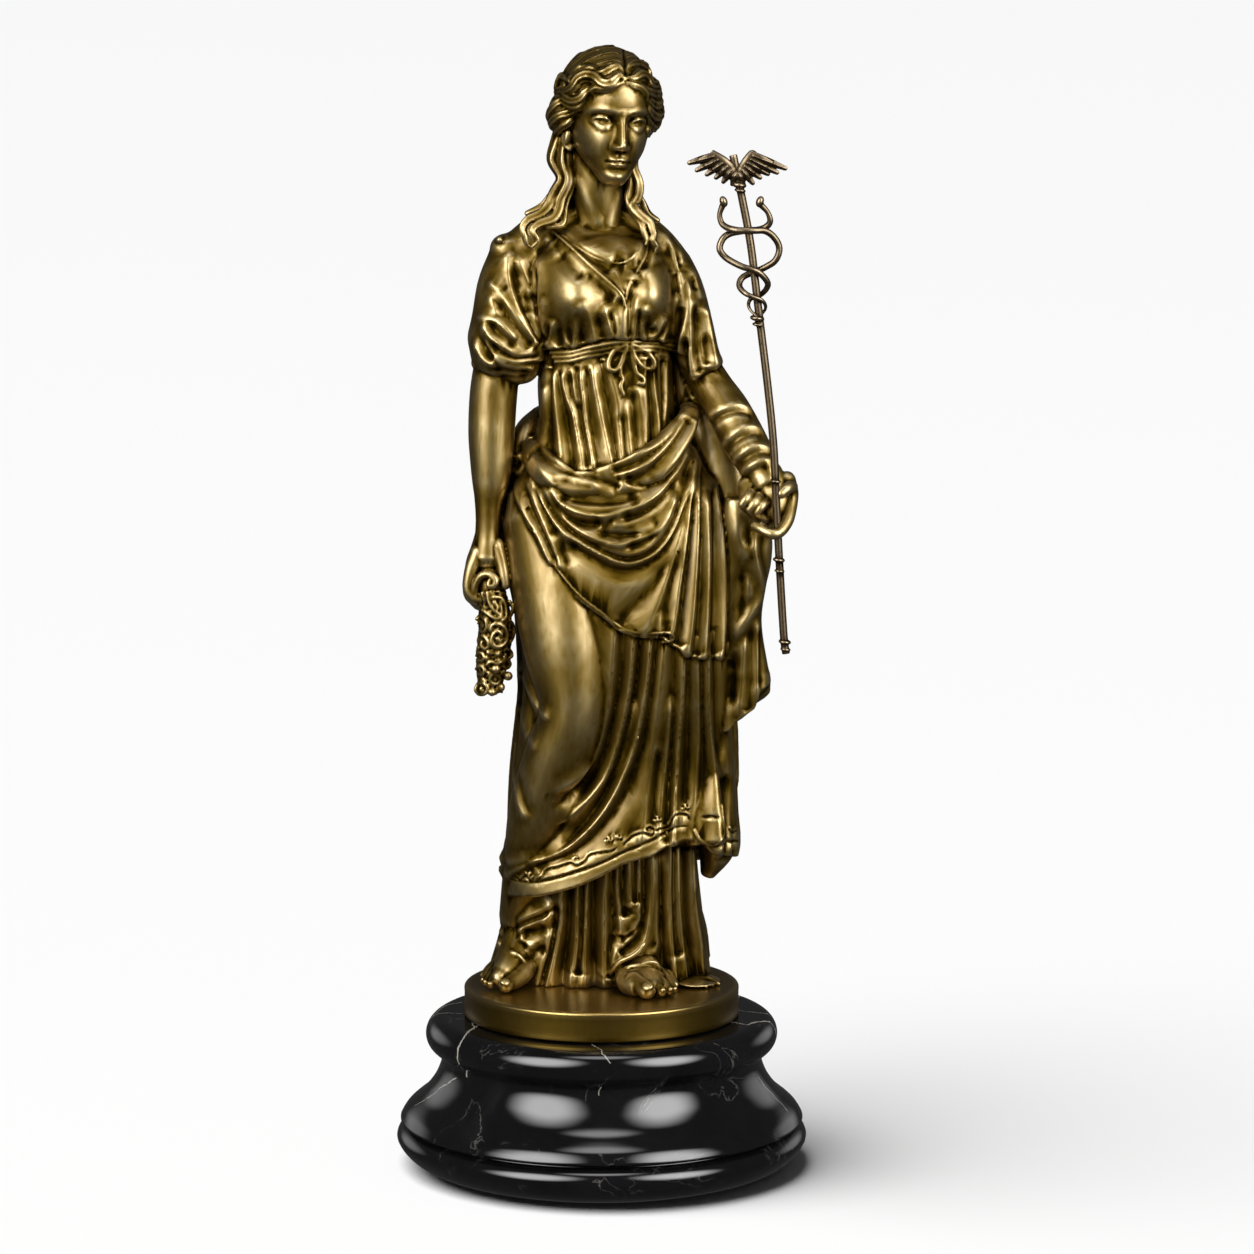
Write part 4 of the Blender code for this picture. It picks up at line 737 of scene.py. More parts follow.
        (1.8, 6.6,145, 6.8,135, 7,124, 8,116, 8.8,108, 8.8,103.6), (-2.4, 9.1,145, 9.4,135, 9.8,120, 10.4,112),
        (1, 11.5,146, 12,136, 12.6,124, 13.6,116),
        (1.8, 16.4,149, 16.6,139, 16.8,126, 16.7,116, 16.4,111, 13,106.3, 9,104),
        (-1.4, 14.4,148, 14.6,138, 14.8,126, 14.8,118),
        (1.4, 17,109.6, 14,103.6, 9.6,99.6, 6.2,95.6, 4.8,91, 3,85), (-1.5, 16.4,107.4, 12,103.6, 8,100.4),
        (2.1, 22.1,151, 22.3,141, 22.6,128, 22,118, 20.6,108, 18.8,101, 15.4,96.6, 10,93.8, 6,90, 0,84),
        (-2.4, 19.2,150, 19.2,140, 19.2,126, 18.8,114, 16.8,104.6, 12.4,99, 8,95.2),
        (1.5, 24.3,142, 24.4,132, 24.5,118, 24.3,108, 24.6,100, 22,96.6, 16,94.4),
        (-3.2, 26.5,152, 26.7,142, 27,124, 27.4,110, 27.8,98, 28.4,88, 28.8,82),
        (2.1, 30.6,155, 30.5,145, 30.4,128, 30.8,112, 31.4,98, 32.6,84, 33,78, 33.4,72),
        (-1.5, 32.2,153, 32.2,143, 32.2,124, 32.8,108, 34.4,94),
        (1.7, 34.1,155, 34,145, 33.9,128, 34.6,112, 36,97, 37.4,84, 38,78, 38.6,72),
        (-3, 37,156, 37,146, 37,128, 37.8,112, 39.4,98, 41,84, 41.7,78),
        (2.1, 39.4,156, 39.8,146, 40.5,128, 42.2,112, 44.2,98, 45.6,84, 46.2,78),
        (-1.2, 41.4,148, 42,138, 43.2,118, 45,104, 46,90, 46.4,84),
    ],
    ("under", "ankleFolds"): [
        (1.6, -20,119, -26,115.4, -33,112.4, -38.6,109.8, -43,107, -45.4,102.6),
        (-1.4, -21.6,115.6, -28,112, -35,109.4, -40,106.4),
        (1.7, -20,116, -25,111.5, -30,109.6, -35,107.4, -38.4,104.6),
        (-1.6, -23.4,109.4, -28,106.4, -33,105.2, -35.8,104.8),
        (1.6, -38.4,104.6, -35,101.8, -31.6,99.6, -28.6,97), (-1.2, -28,101.8, -25.6,97, -27,93),
        (1.4, -29,95.4, -33.4,97, -37.6,97.6), (-1.2, -32,98.4, -36.4,99.6, -41,100),
        (1.4, -37.6,97.4, -35,94, -32,91, -30.4,86.6), (1.2, -46.6,103, -44.4,98, -42,95.6, -38.4,95.4),
    ],
    ("forearm", "windings"): [
        (0.99, 46.6,335, 50,338.6, 56,341.4, 62,342, 67.6,339.4),
        (-0.81, 47.4,332.6, 51,336.2, 56.4,338.8, 62,339.4, 67.6,337),
        (0.5, 49.4,330, 54,335, 60,337, 66,335.6), (1.05, 52.4,321.6, 55,326, 60,330.6, 66,332.6, 72.4,331.4),
        (-0.87, 53.4,318.8, 56.8,324, 62,328, 67,329.8, 72.6,328.8),
        (0.5, 54.6,316.6, 58.6,321.8, 64,326, 70,327), (1.05, 56.4,313.6, 60,319, 65,323, 70,324.2, 76,322.4),
        (-0.87, 57.4,311.2, 61.6,316.6, 66.4,320.4, 71,321.6, 76.4,319.8),
        (0.99, 58.6,307.4, 62,311.8, 67,316, 73,318, 79.4,316.6), (-0.74, 60,305, 63.6,309.4, 68,313, 74,315),
    ],
    ("hanging", "hanging"): [
        (1.2, 59.6,300, 60.4,286, 62.4,278.4, 65,275, 68.4,274.4),
        (1.35, 67.4,290, 67.8,278, 69.6,269, 71,262, 70.4,257, 67.4,251.6, 63.6,246, 60.6,240.4, 58.6,234),
        (-1.12, 64.4,296, 65.2,284, 66.6,278), (-1.2, 72.6,290, 71.8,278, 73.4,266, 73,256),
        (-1.12, 61.4,272, 62.6,262, 62.4,252, 60,244), (0.83, 64.6,270, 65.6,260, 65,252),
        (1.27, 68.8,250, 69,236, 69.2,222, 69,206), (-1.12, 66.6,247, 66.4,230, 66,212, 65.6,200),
        (1.12, 63.8,242, 63,228, 62,214, 60.6,200), (-1.35, 59,234, 58,218, 57,204),
        (-1.2, 70.4,246, 70.8,230, 71,212),
    ],
}


# the head in its own millimetres: chin at 0, crown at 55, face to -Y, then turned to the goddess's left
head = {
    "grain": 0.32,
    "place": (3.6, 1, 441),
    "turn": 16,
    "nod": 2,
    "lean": 4,
    # height, half width, front without the nose, depth of the widest place, back
    "skull": [-1.2,2.5,-15.5,-13,-11, 0,4.8,-17.6,-12,-8, 2,6.6,-19,-10.5,-5, 4,8,-19.5,-9,-1, 7,10.3,-19.2,-6,5,
        10,12.4,-19.5,-3,10, 14,14.8,-20.1,-1,15, 19,16.4,-20.6,1,19, 24,17.3,-20.6,2.5,23, 29,17.6,-21.2,4,25.5,
        33,17.7,-22,4.5,26, 38,17.3,-21.8,4.5,26, 43,16.4,-20.6,4,24, 47,14.2,-18,3.5,20.5, 51,10.4,-13,3,15,
        54,5.5,-6,3,9, 55.2,0.6,1.5,3,4],
}


def hump(x, z, x0, z0, wide, high, power=2):
    return np.exp(-(np.abs((x - x0) / wide) ** power) - np.abs((z - z0) / high) ** power)


def features(x, z):
    # how far the face stands out from the plain skull, for both halves alike
    a = np.abs(x)
    lift = np.zeros_like(x)
    # brow, socket and eye
    browLine = 30.4 + 1.5 * np.sin(np.clip((a - 3) / 11.5, 0, 1) * math.pi) - 0.1 * np.clip(a - 12, 0, 6) ** 1.5
    brow = 0.85 * np.exp(-(((z - browLine) / 2) ** 2)) * np.clip((a - 1.2) / 2, 0, 1)
    lift += brow * np.clip((16.5 - a) / 3, 0, 1)
    lift -= 2.5 * hump(a, z, 8.2, 26.8, 5, 3, 2.4)
    lift -= 1.5 * hump(a, z, 4.4, 27.4, 1.9, 2.4)
    u = (a - 8.4) / 4.1
    inside = np.clip(1 - u * u, 0, 1)
    tilt = 0.35 * u
    ball = np.sqrt(np.clip(1 - u * u - ((z - 26.3 - tilt) / 3.6) ** 2, 0, 1))
    lift += 1.9 * ball
    ring = np.hypot(a - 8.1, z - 26.4)
    lift -= 0.35 * np.exp(-(((ring - 1.35) / 0.3) ** 2)) * (ball > 0) + 0.45 * np.exp(-((ring / 0.5) ** 2))
    upper = 26.3 + tilt + 2 * np.sqrt(inside)
    lower = 26.2 + tilt - 1.25 * inside**0.7
    near = (np.abs(u) < 1.12).astype(float)
    lids = np.clip((1.12 - np.abs(u)) * 5, 0, 1)
    lift += near * 0.85 * np.exp(-(((z - upper) / 0.55) ** 2)) * lids
    lift += near * 0.5 * np.exp(-(((z - lower) / 0.5) ** 2)) * lids
    lift -= near * 0.65 * np.exp(-(((z - upper - 1.15) / 0.45) ** 2)) * np.clip((1.05 - np.abs(u)) * 4, 0, 1)
    # nose
    bridge = np.interp(z, [13.9, 14.6, 15.4, 16.6, 18.2, 21, 24, 27, 30, 33.5],
                       [0, 2, 4.9, 6.2, 6, 4.8, 3.6, 2.4, 1.1, 0])
    width = np.interp(z, [14, 16.5, 19, 23, 27, 31], [2.5, 2.7, 2.4, 2.1, 2, 3])
    lift += bridge * np.exp(-((a / width) ** 2.3))
    lift += 2 * hump(a, z, 2.9, 15.9, 1.3, 1.4, 2.2)
    lift -= 0.5 * hump(a, z, 4.9, 16.2, 0.9, 1.9)
    lift -= 0.9 * hump(a, z, 1.7, 14.5, 0.9, 0.45)
    # cheeks, chin and mouth
    lift += 0.9 * hump(a, z, 9.6, 18.5, 5.4, 6)
    lift -= 0.2 * hump(a, z, 6.4, 12.6, 1.8, 3)
    lift += 1.6 * hump(x, z, 0, 3, 4, 2.6)
    lift -= 1.1 * hump(x, z, 0, 6.2, 4, 1.1)
    lift += hump(x, z, 0, 10, 6.5, 4.5)
    line = 9.85 + 0.1 * np.cos(a * 1.3) - 0.015 * a
    upperSpan = np.clip(1 - (a / 4.8) ** 2, 0, 1)
    lift += 1.3 * np.exp(-(((z - line - 0.95) / 0.85) ** 2)) * upperSpan**0.8 * (1 - 0.18 * np.exp(-((a / 0.8) ** 2)))
    lift += 1.65 * np.exp(-(((z - line + 1.2) / 1.1) ** 2)) * np.clip(1 - (a / 4) ** 2, 0, 1) ** 0.8
    lift -= np.exp(-(((z - line) / 0.34) ** 2)) * np.clip(1 - (a / 5.3) ** 2, 0, 1) ** 0.5
    lift -= 0.4 * hump(a, z, 5.3, 9.8, 0.8, 0.8)
    lift -= 0.35 * np.exp(-((a / 0.7) ** 2)) * np.clip(z - 11.4, 0, 1) * np.clip(14 - z, 0, 1)
    return lift


def headPlaced(points):
    # from the head's own place to the figure's
    points = np.asarray(points, float)
    nod, turn = math.radians(head["nod"]), math.radians(head["turn"])
    x, y, z = points[..., 0], points[..., 1], points[..., 2]
    y, z = y * math.cos(nod) - z * math.sin(nod), y * math.sin(nod) + z * math.cos(nod)
    x, y = x * math.cos(turn) - y * math.sin(turn), x * math.sin(turn) + y * math.cos(turn)
    lean, z = math.radians(head["lean"]), z - 28
    x, z = x * math.cos(lean) + z * math.sin(lean), z * math.cos(lean) - x * math.sin(lean) + 28
    return np.stack([x, y, z], axis=-1) + head["place"]


def skull():
    rows = smoothPath(places(head["skull"], 5), 190)
    angle = np.linspace(-math.pi, math.pi, 420, endpoint=False)
    rings = []
    s, c, power = np.sin(angle), np.cos(angle), 2.25
    r = (np.abs(s) ** power + np.abs(c) ** power) ** (-1 / power)
    for z, half, fore, middle, back in rows:
        x = max(half, 0.3) * r * s
        y = np.where(c > 0, middle - (middle - fore) * r * c, middle - (back - middle) * r * c)
        rings.append(np.stack([x, y, z + 0 * x], axis=-1))
    rings = np.array(rings)
    ahead = np.clip((-rings[..., 1] - 4) / 8, 0, 1)
    rings[..., 1] -= features(rings[..., 0], rings[..., 2]) * ahead
    low, high = rings[0].mean(0), rings[-1].mean(0)
    rings = np.concatenate([np.broadcast_to(low, rings[:1].shape), rings, np.broadcast_to(high, rings[:1].shape)])
    return skin(headPlaced(rings))


hair = {
    # rolls and curls drawn from the front: half width at the middle, how far they stand out, how flat, then x,z
    "waves": [
        (2.5, 0.6, 0.8, 10,488.6, 7.6,490, 4.8,489.4, 2,487.6, -1,486.6, -4,488, -8,488.6, -12,486.4, -16,483),
        (2.9, 1.2, 0.8, 10.2,484.8, 8,486.2, 5.6,484.2, 3.2,482.8, 0.4,483.2, -2.4,485.4, -6,486.2, -9.4,484.6,
         -12,481, -15.5,479.4, -19,480.5),
        (1.7, 0.8, 0.8, 9.6,483.4, 5.5,481.6, 1.5,480.6, -2,480.8, -4.6,479.4, -6.6,476.8),
        (2.5, 1, 0.8, -3.6,481.6, -6.4,479.2, -8.6,476.4, -12,475.4, -15.4,477, -18,479.8),
        (2.2, 0.8, 0.8, -6.4,476.4, -9.4,473.4, -13,473.2, -16.6,475.4, -20,477.6),
        (2.5, 0.8, 0.8, -8.6,472.8, -13,470.6, -17.4,469.2, -20.6,466.6, -21.4,463.4, -18.4,462),
        (2.6, 0.6, 0.8, -14,476, -18,474.6, -21.4,471.4, -22.4,467.6, -21.6,464),
        (2.3, 0.5, 0.8, -11.6,469.4, -14.4,466.6, -17.6,464.6, -19.6,461.8, -17,460.2),
        (2.1, 0.8, 0.9, -13.6,483.6, -16.6,485.6, -19.4,484.2, -20,481.2, -17.6,479.8, -15.8,481.4, -17,483),
        (2.2, 0.6, 0.8, 11,489.4, 13.4,491, 16.6,491.2, 19.4,489.4, 21.6,487.6, 22.2,485),
        (2.8, 1.1, 0.8, 11.6,485.2, 14.4,484.8, 17.4,486.2, 19.8,484.8, 21.4,482, 24,482.4, 24.4,485, 22.2,485.8),
        (1.8, 0.6, 0.8, 11.4,483.2, 14.6,482, 17.6,481, 19.6,478.6, 20.2,475),
        (2.4, 0.7, 0.8, 17.6,482, 20.6,479.2, 24,478.4, 26,480.4, 25.2,483),
        (2.4, 0.6, 0.8, 20,478, 21.6,474.6, 24.4,473.6, 26,475.6, 25,478),
        (2.4, 0.6, 0.8, 20.4,474, 21.6,470.2, 24.6,468.6, 26.2,470.8, 25.4,473.6),
        (2.2, 0.5, 0.8, 20.4,469, 21.2,465.2, 23.6,463.6, 25,465.8, 24.4,468.6),
        (2, 0.4, 0.8, 20.2,465, 20.6,461.6, 22.8,460.8),
    ],
    # locks that hang on the shoulders
    "locks": [
        [-18,462,4,3.2, -20,455,3,3.2, -20.3,449,2,2.9, -18,442.5,1,2.9, -19.3,437,0,2.9, -22,431.5,-3,3,
         -27,426.5,-5,2.6, -31.5,423.5,-7,2.3, -34.3,419,-8.5,1.9, -33.2,414.5,-9,1.6, -30.8,412,-8.5,1.1],
        [-16,459,1,2.6, -16.2,450,0,2.6, -15.2,442,-1,2.6, -16.6,435,-2,2.7, -18,429.5,-3.5,2.8, -21.5,424.5,-5.5,2.6,
         -26.5,421.8,-7.5,2.2, -29.8,418.5,-9,1.9, -28.2,414.5,-9.5,1.6, -29.5,411.5,-9,1.1],
        [-14.5,452,1,2.2, -13.6,442,0,2.2, -15.4,433,-1,2.3, -15.6,426,-3,2.1, -18,421.6,-5.5,1.6, -23,420.6,-7,1.1],
        [-19,448,6,1.6, -18.6,441,5,1.8, -21,435,4,2, -26,430,3,2, -32,426.5,2,1.4],
        [14.6,456,3,2.6, 14.2,448,2,2.6, 15.8,441,1,2.6, 15.6,434,0,2.6, 15,429.5,-2,2.6, 17.6,425.4,-4.5,2.6,
         22,422,-7,2.3, 23.8,418,-8.5,1.9, 22.3,414.8,-9,1.7, 25,411.8,-9,1.2, 24.4,409.6,-9,0.8],
        [12.6,450,2,2.2, 12.8,440,1,2.2, 13,432,-1,2.2, 15,426,-3,2.2, 18.6,421,-6,2, 20.4,416.5,-8,1.6,
         19.2,413.2,-9,1],
        [14.6,448,6,1.6, 15.8,440,5,1.8, 16.6,433,4,2, 20,427.5,3,2, 25,423.5,2,1.4],
    ],
    # combed lines over the crown, as pairs to fan between
    "crownLeft": ([9.2,498.6, 2,498.8, -6,496.4, -13,491, -17.4,485.6],
                  [10.2,490.6, 6,492, 1,490.8, -4,489.6, -9,488]),
    "crownRight": ([11,498.4, 15,496.6, 19,493, 21.4,488.6], [10.8,491, 13,493.2, 17,493, 20.6,489.4]),
}


def hairMass():
    # the cap over the skull and the puffed sides, before any lock
    return [
        blob((2.2, 477.6, 5), (20.4, 23, 21.6), rings=32),
        blob((-13.4, 470, 3.5), (9.2, 12, 10.2), rings=24),
        blob((18.4, 472.4, 6), (7.6, 12, 12), rings=24),
        blob((0, 468, 18), (19, 14, 17), rings=24),
        tube([-11,462,12,8, -11.5,450,11,7, -12,438,10,6.4, -13,429,10,6], around=28),
        tube([10,462,12,7, 9.5,450,11,5.6, 9,438,10,5, 10,428,10,5], around=28),
    ]


def laidLock(base, drawn, radius, out, flatness, flutes):
    # one roll of hair laid on the mass below it
    line = drawnOn(base, smoothPath(drawn, 9 * len(drawn)), front)
    for _ in range(6):
        line[1:-1, 1] = (line[:-2, 1] + 2 * line[1:-1, 1] + line[2:, 1]) / 4
    middle = np.array(seen(2, 474, 4))
    outward = unit((line - middle) * [1, 1, 0.7])
    t = np.linspace(0, 1, len(line))
    size = radius * np.clip(np.minimum(t / 0.25, (1 - t) / 0.25), 0.12, 1) ** 0.5
    line += outward * (out - 0.35 * radius)
    return limb(line, size, 34, ripple=(flutes, 0.15, 0.35), facing=outward, depth=flatness)


def combed():
    strokes = []
    for name, number in (("crownLeft", 10), ("crownRight", 7)):
        lines = fan(("fold", 1.4, 0.6, 0.12, 0.2, front), *hair[name], number)
        for i, (kind, wide, high, *rest) in enumerate(lines):  # no two combed lines are alike
            wide, high = wide * (0.7 + 0.3 * math.sin(2.3 * i)), high * (0.8 + 0.4 * math.sin(1.7 * i + 1))
            strokes.append((kind, wide, high, *rest))
    strokes.append(("soft", 1.3, -0.8, 0.1, 0.1, front, places([9.6,498.6, 10,496, 10.5,491, 10.8,486])))
    for side in (-1, 1):
        flank = Vector((1800 * side, 1100, 470))
        strokes += fan(("fold", 1.9, 0.8, 0.1, 0.1, behind),
                       [-2 + 0.4 * side, 499, -2 + 3 * side, 492, -7 + 2.5 * side, 481],
                       [-2 + 18 * side, 490, -2 + 20 * side, 478, -7 + 10 * side, 466], 8)
        strokes += fan(("fold", 1.9, 0.8, 0.1, 0.1, behind),
                       [-2 + 20 * side, 480, -2 + 18 * side, 472, -8 + 9 * side, 463],
                       [-2 + 20 * side, 466, -2 + 14 * side, 458, -8 + 7 * side, 458], 5)
        strokes += fan(("fold", 2, 0.8, 0.1, 0.1, flank), [2, 497, 2 + 14 * side, 488, 2 + 12 * side, 474],
                       [2 + 10 * side, 478, 2 + 16 * side, 470, 2 + 12 * side, 462], 5)
    return strokes


def knotBehind():
    # the hair is wound into a knot at the nape
    middle = np.array(headPlaced([(0, 27.5, 26)])[0])
    forms = [blob((-8.6, 467, 29.5), (9.6, 8, 9.6), rings=24)]
    for k in range(4):
        t = np.linspace(0, 2 * math.pi * 1.02, 60)
        size = 8.4 - 2 * k
        deep = 27 + 2.5 * k + 0.5 * np.sin(3 * t)
        path = headPlaced(np.stack([size * np.cos(t + k), deep, 26 + size * np.sin(t + k)], axis=-1))
        forms.append(limb(path, np.full(60, 2.5), 30, ripple=(7, 0.14, 1.5), facing=unit(path - middle)))
    return forms


def headAndHair():
    forms = [
        skull(),
        tube([-1,462,6,11.4, -1.4,450,5,11.2, -1.6,438,6,11.3, -1,428,8.5,12.6, -0.5,419,10.5,14.5, 0,408,13,17],
             around=48),
    ]
    rough = fuse("hair mass", hairMass() + [skull()], 0.8)
    for radius, out, flatness, *drawn in hair["waves"]:
        forms.append(laidLock(rough, places(drawn), radius, out, flatness, 5 + int(radius * 2) % 3))
    bpy.data.objects.remove(rough)
    forms += hairMass() + knotBehind()
    # the ear shows below the waves
    forms.append(blob((-14.2, 459.4, -2.5), (2, 3, 4.6), (10, 12, -20), rings=16))
    forms.append(blob((-13.6, 455.4, -3), (1.7, 1.6, 1.9), rings=12))
    forms.append(tube([-15.6,462,-3.4,0.9, -16.6,459,-3,1, -15.6,456,-3.4,0.9, -13.8,454.4,-4,0.9], around=12))
    for drawn in hair["locks"]:
        rows = places(drawn, 4)
        path = smoothPath(rows, 7 * len(rows))
        t = np.arange(len(path))
        path[:, 0] += 0.7 * np.sin(t * 0.3 + rows[0][0]) * np.clip(t / 14, 0, 1)
        path[:, 3] *= 0.86
        forms.append(tube(path, around=28, ripple=(4, 0.15, 1), steps=2))
    return forms


neckLines = [
    (4, 0.5, -12,446, -8,436, -3,426, 1,420), (3.6, 0.4, 9.4,440, 7.4,431, 5,424, 3.4,420),
]


# hands, garland and feet are worked finer than the cloth
# x, z, y and radius down the core
garlandCore = [-50,268,-6,4, -48,256,-8,5.8, -47,244,-8,6.8, -48.2,230,-8,6.8, -49.4,219,-8,5]
curls = [
    # radius, then x,z: the larger scrolls, leaves and rosettes on the garland's front
    (0.8, -50.6,259, -49.8,254.6, -47.8,251, -44.8,248.8),
    (0.95, -47.4,256.8, -44.2,256.2, -42.6,252.4, -42.4,248, -44.2,246.4), (0.6, -44.8,255, -44.2,251, -44,248),
    (0.6, -47.4,254.8, -46,252.4, -46.6,250.6), (0.85, -52.6,251, -49.6,248.8, -46.8,247, -45,248),
    (1, -49,242, -48.4,244.2, -46,244.8, -43.2,243.4, -42,240.4, -42.4,237, -44.6,234.8, -47.2,234.8, -48.6,237,
     -48,240, -46,241.6, -44.4,240.2),
    (0.6, -46.4,238.4, -45,237, -43.8,238.4),
    (0.9, -55.2,247, -53.6,248.4, -51.4,246.8, -50.8,243.8, -52,241.4, -53.6,241.8),
    (0.6, -54.8,245, -53.4,245.6, -52.6,243.6), (0.9, -41,246.8, -39.2,244.4, -38.8,241, -39.6,238, -41,236.4),
    (0.8, -40.6,255, -39.2,252, -39.8,249, -41,248),
    (0.85, -52.8,239.6, -50.8,238, -50,235.4, -51.4,233.6, -53.2,234.8, -53,236.8),
    (0.8, -51,226.4, -49,227.8, -46.6,227, -44.6,227.8, -42,229, -40.4,227, -41.6,225, -43.6,225.8),
    (0.75, -49.6,220, -48.6,222, -46.4,222, -45.2,220, -46.2,218, -48.4,218, -49.7,219.6),
    (0.85, -56,215.6, -54.6,218, -52,218, -50.6,215.8, -51.8,213.4, -54.4,213.2, -56,215),
    (0.8, -42,233.6, -40.2,232.6, -39.6,230.4, -41.2,229.6),
    (0.8, -55.4,230.6, -53.8,232, -52,230.4, -52.8,228.4, -54.6,228.6),
    (0.8, -55.6,224.6, -53.8,226, -52,224.4, -52.8,222.2, -54.8,222.4),
]
# x, z and radius of the buds between them
balls = [-50,232,1.3, -46.2,231.4,1.4, -46.2,228.8,1.1, -46.8,224.6,2.1, -47.4,220,1.1, -53.2,215.6,1.3,
    -44.8,216.4,2.1, -41.4,221.4,2.1, -48.6,214.2,1.9, -43.6,223.6,1.3, -40.8,232,1.2, -53.4,230.2,0.9,
    -53.6,224.2,0.9, -45.6,238.6,0.9, -50.6,229.6,1.2]


def garland():
    # a thick stub of foliage: small curls crowd a core, with larger scrolls in front
    core = smoothPath(places(garlandCore, 4), 60)
    # with the scroll at the top
    forms = [tube(garlandCore, around=28),
             tube([-56,256,-9,1.6, -55.8,262,-10,1.7, -53,266.4,-11,1.8, -49.4,266.8,-12,1.8, -46.8,264.4,-13,1.7,
                 -47.8,261.8,-13.5,1.5, -50,262.2,-13.5,1.2, -49.6,264,-13.5,0.9], around=16)]
    chance = random.Random(12)

    def onCore(x, z):
        # the depth of the core's front at a drawn place
        mid, radius = np.interp(-z, -core[:, 1], core[:, 0]), np.interp(-z, -core[:, 1], core[:, 3])
        return -8 - math.sqrt(max(radius**2 - (x - mid) ** 2, 1)) * 0.95

    rows = 17
    for row in range(rows):
        z = 258 - 43 * row / (rows - 1)
        middle, radius = np.interp(-z, -core[:, 1], core[:, 0]), np.interp(-z, -core[:, 1], core[:, 3]) + 0.2
        for k in range(13):
            a = 2 * math.pi * (k + 0.5 * (row % 2)) / 13 + chance.uniform(-0.16, 0.16)
            centre = Vector((middle + radius * math.sin(a), z + chance.uniform(-0.7, 0.7), -8 - radius * math.cos(a)))
            sideways, reach, turn = math.cos(a), chance.uniform(0.9, 1.6), chance.uniform(0, 6.3)
            points = []
            for s in np.linspace(0, chance.uniform(3.4, 5.2), 7):
                swing = reach * (1 - 0.08 * s)
                dx = swing * math.cos(turn + s)
                points.append((centre.x + dx * sideways, centre.y + swing * math.sin(turn + s),
                               centre.z + dx * math.sin(a) - 0.12 * s * math.cos(a), 0.62))
            forms.append(tube(points, around=9, steps=3))
            if chance.random() < 0.4:
                forms.append(blob((centre.x, centre.y, centre.z - 0.3 * math.cos(a)), (0.8, 0.8, 0.8), rings=7))
    for radius, *line in curls:
        forms.append(tube([(x, z, onCore(x, z) - 1.3, radius) for x, z in places(line)], around=12, steps=4))
    for x, z, r in places(balls, 3):
        forms.append(blob((x, z, onCore(x, z) - 0.8), (r, r, r), rings=11))
    return forms


def rightHand():
    # the hand closes round the top of the garland, thumb to the body
    return [
        tube([-50.3,285,-4,5.6, -50.6,278,-4,7.4, -51.4,271,-1,8.8, -51.8,264,3,8.8, -51.6,258,4,8], depth=0.62,
             around=36),
        tube([-46.2,280,-6,3.6, -44.2,273,-8,3.2, -43,267,-9.6,2.9, -42.4,262.4,-10.6,2.3], around=24),
        tube([-54.4,277,-6,3.6, -57,270.6,-7.4,3.2, -58.6,265,-8.2,2.7, -59,260.6,-8.6,2.4, -57,257,-9,2.2,
            -54,255.4,-9.4,1.8], around=24),
        tube([-56.6,270,0,3.4, -58.4,263,-1,3, -58.2,257.6,-2,2.7, -55.4,254.6,-3,2.2], around=22),
    ]


def toes(rows, nails):
    forms = [tube(row, caps=(1, 0.75), around=22, steps=6) for row in rows]
    for x, z, y, wide, turn in places(nails, 5):
        forms.append(blob((x, z, y), (wide, wide * 0.95, 0.7), (38, 0, turn), rings=9))
    return forms


